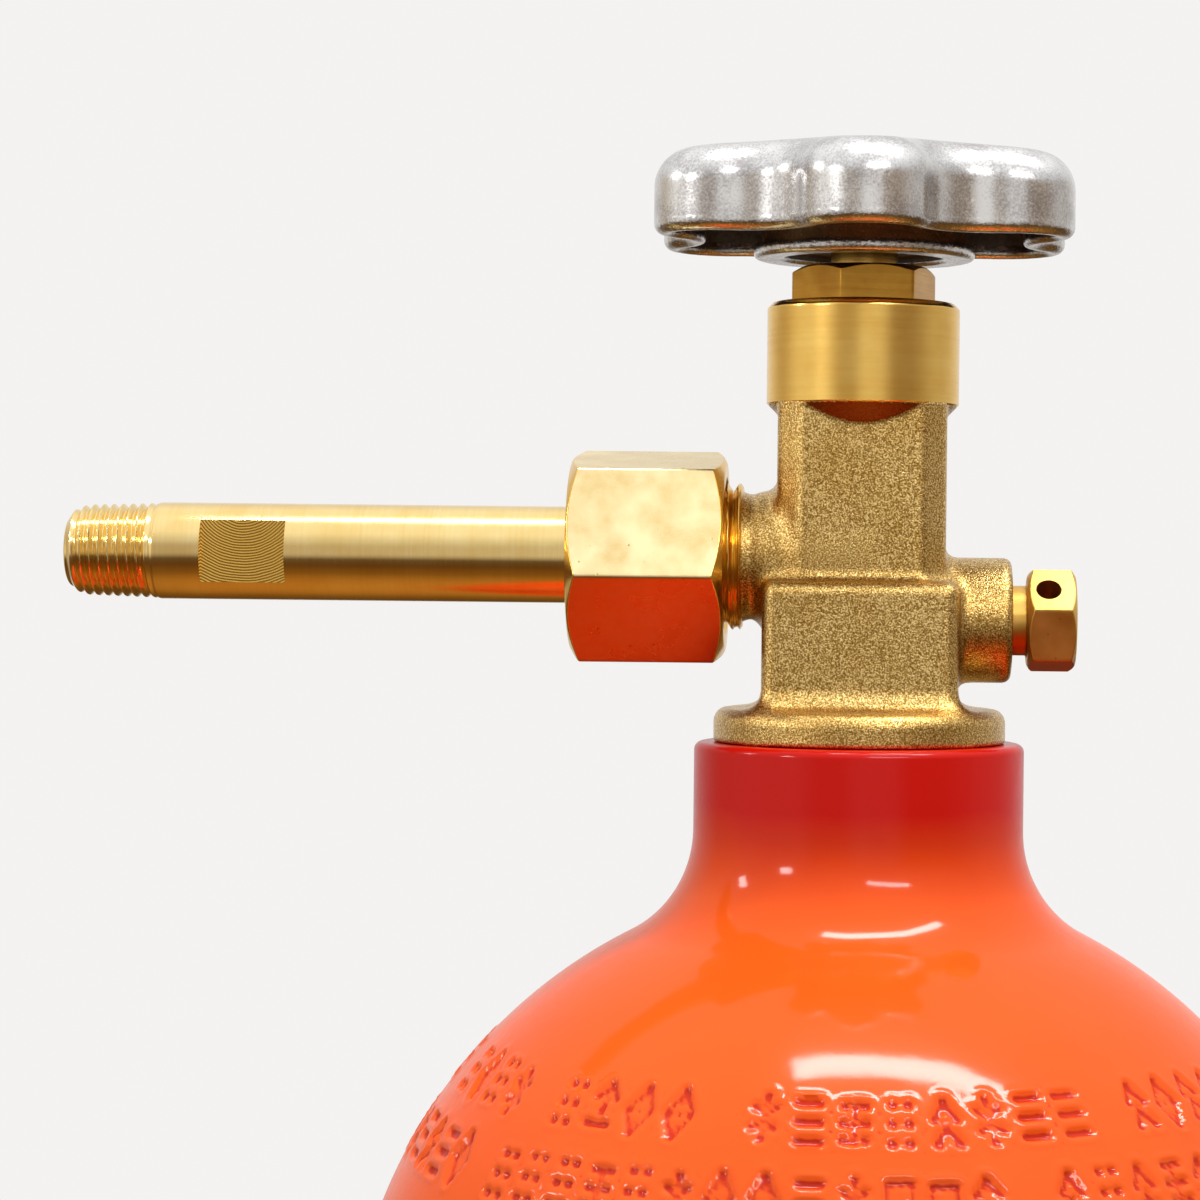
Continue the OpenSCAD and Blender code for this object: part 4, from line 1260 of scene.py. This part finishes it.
def camera():
    """Stands where the photograph was taken from."""
    data = bpy.data.cameras.new("camera")
    data.sensor_width = SENSOR_MM
    data.lens = LENS_MM
    data.shift_x = SHIFT_X
    data.shift_y = SHIFT_Y
    data.clip_start = 0.01
    view = in_scene("camera", data)
    at = Vector((0, -CAMERA_DISTANCE, NECK_TOP + CAMERA_HEIGHT)) * MM
    level = Matrix.Rotation(math.radians(90), 4, "X")
    roll = Matrix.Rotation(math.radians(CAMERA_ROLL_DEG), 4, "Z")
    view.matrix_world = Matrix.Translation(at) @ level @ roll
    bpy.context.scene.camera = view


# ---------------- the scene

def finish_nodes(material, *names):
    """Gives a material to CAD pieces whose shape is right as it is."""
    for name in names:
        mesh = frame["nodes"][name].data
        mesh.materials.clear()
        mesh.materials.append(material)


def small_pieces(brass):
    """Seals, washers and spindles, most of them hidden."""
    rubber = plain_material("black_rubber", (0.02, 0.02, 0.022), (0.04, 0.04, 0.042), 0.0, 0.5)
    polymer = plain_material("white_polymer", (0.80, 0.79, 0.74), (0.88, 0.87, 0.83), 0.0, 0.4)
    copper = plain_material("soft_copper", (0.72, 0.36, 0.22), (0.83, 0.46, 0.30), 1.0, 0.3)
    zinc = plain_material("zinc_plate", (0.55, 0.56, 0.58), (0.70, 0.71, 0.73), 1.0, 0.28)
    finish_nodes(rubber, "neck_o_ring", "spindle_o_ring")
    finish_nodes(copper, "bonnet_gasket", "burst_disc")
    finish_nodes(polymer, "thrust_washer", "backup_ring", "seat_insert", "outlet_gasket")
    finish_nodes(zinc, "disc_washer", "handwheel_washer", "handwheel_nut")
    finish_nodes(brass, "upper_spindle", "lower_spindle")


def main():
    camera()
    world()
    lights()
    floor()
    turned_x = turned_material("turned_brass_x", "X")
    turned_z = turned_material("turned_brass_z", "Z")
    cylinder_shell(paint_material())
    valve_casting([forged_material(), cone_shade_material()])
    valve_barrel(turned_z)
    outlet_thread(turned_x)
    valve_stem(turned_z)
    # The gland nut's darker tones are painted shade from the wheel above it.
    gland_nut(turned_material("gland_brass", "Z", GLAND_SHADE_TONES, (0.26, 0.36)))
    union_nut([drawn_material("drawn_brass", UNION_TONES, 0.24), turned_x])
    tube_brass = turned_material("nipple_brass", "X", NIPPLE_TONES, (0.10, 0.17))
    nipple([tube_brass, swirl_material((WRENCH_L / 2 - WRENCH_END_X, OUTLET_Z + SWIRL_RISE))])
    relief_plug(drawn_material("plug_brass", PLUG_TONES, 0.40))
    handwheel([aluminium_material(), wheel_shade_material()])
    small_pieces(turned_z)
    bpy.context.scene.view_settings.view_transform = "Standard"


main()
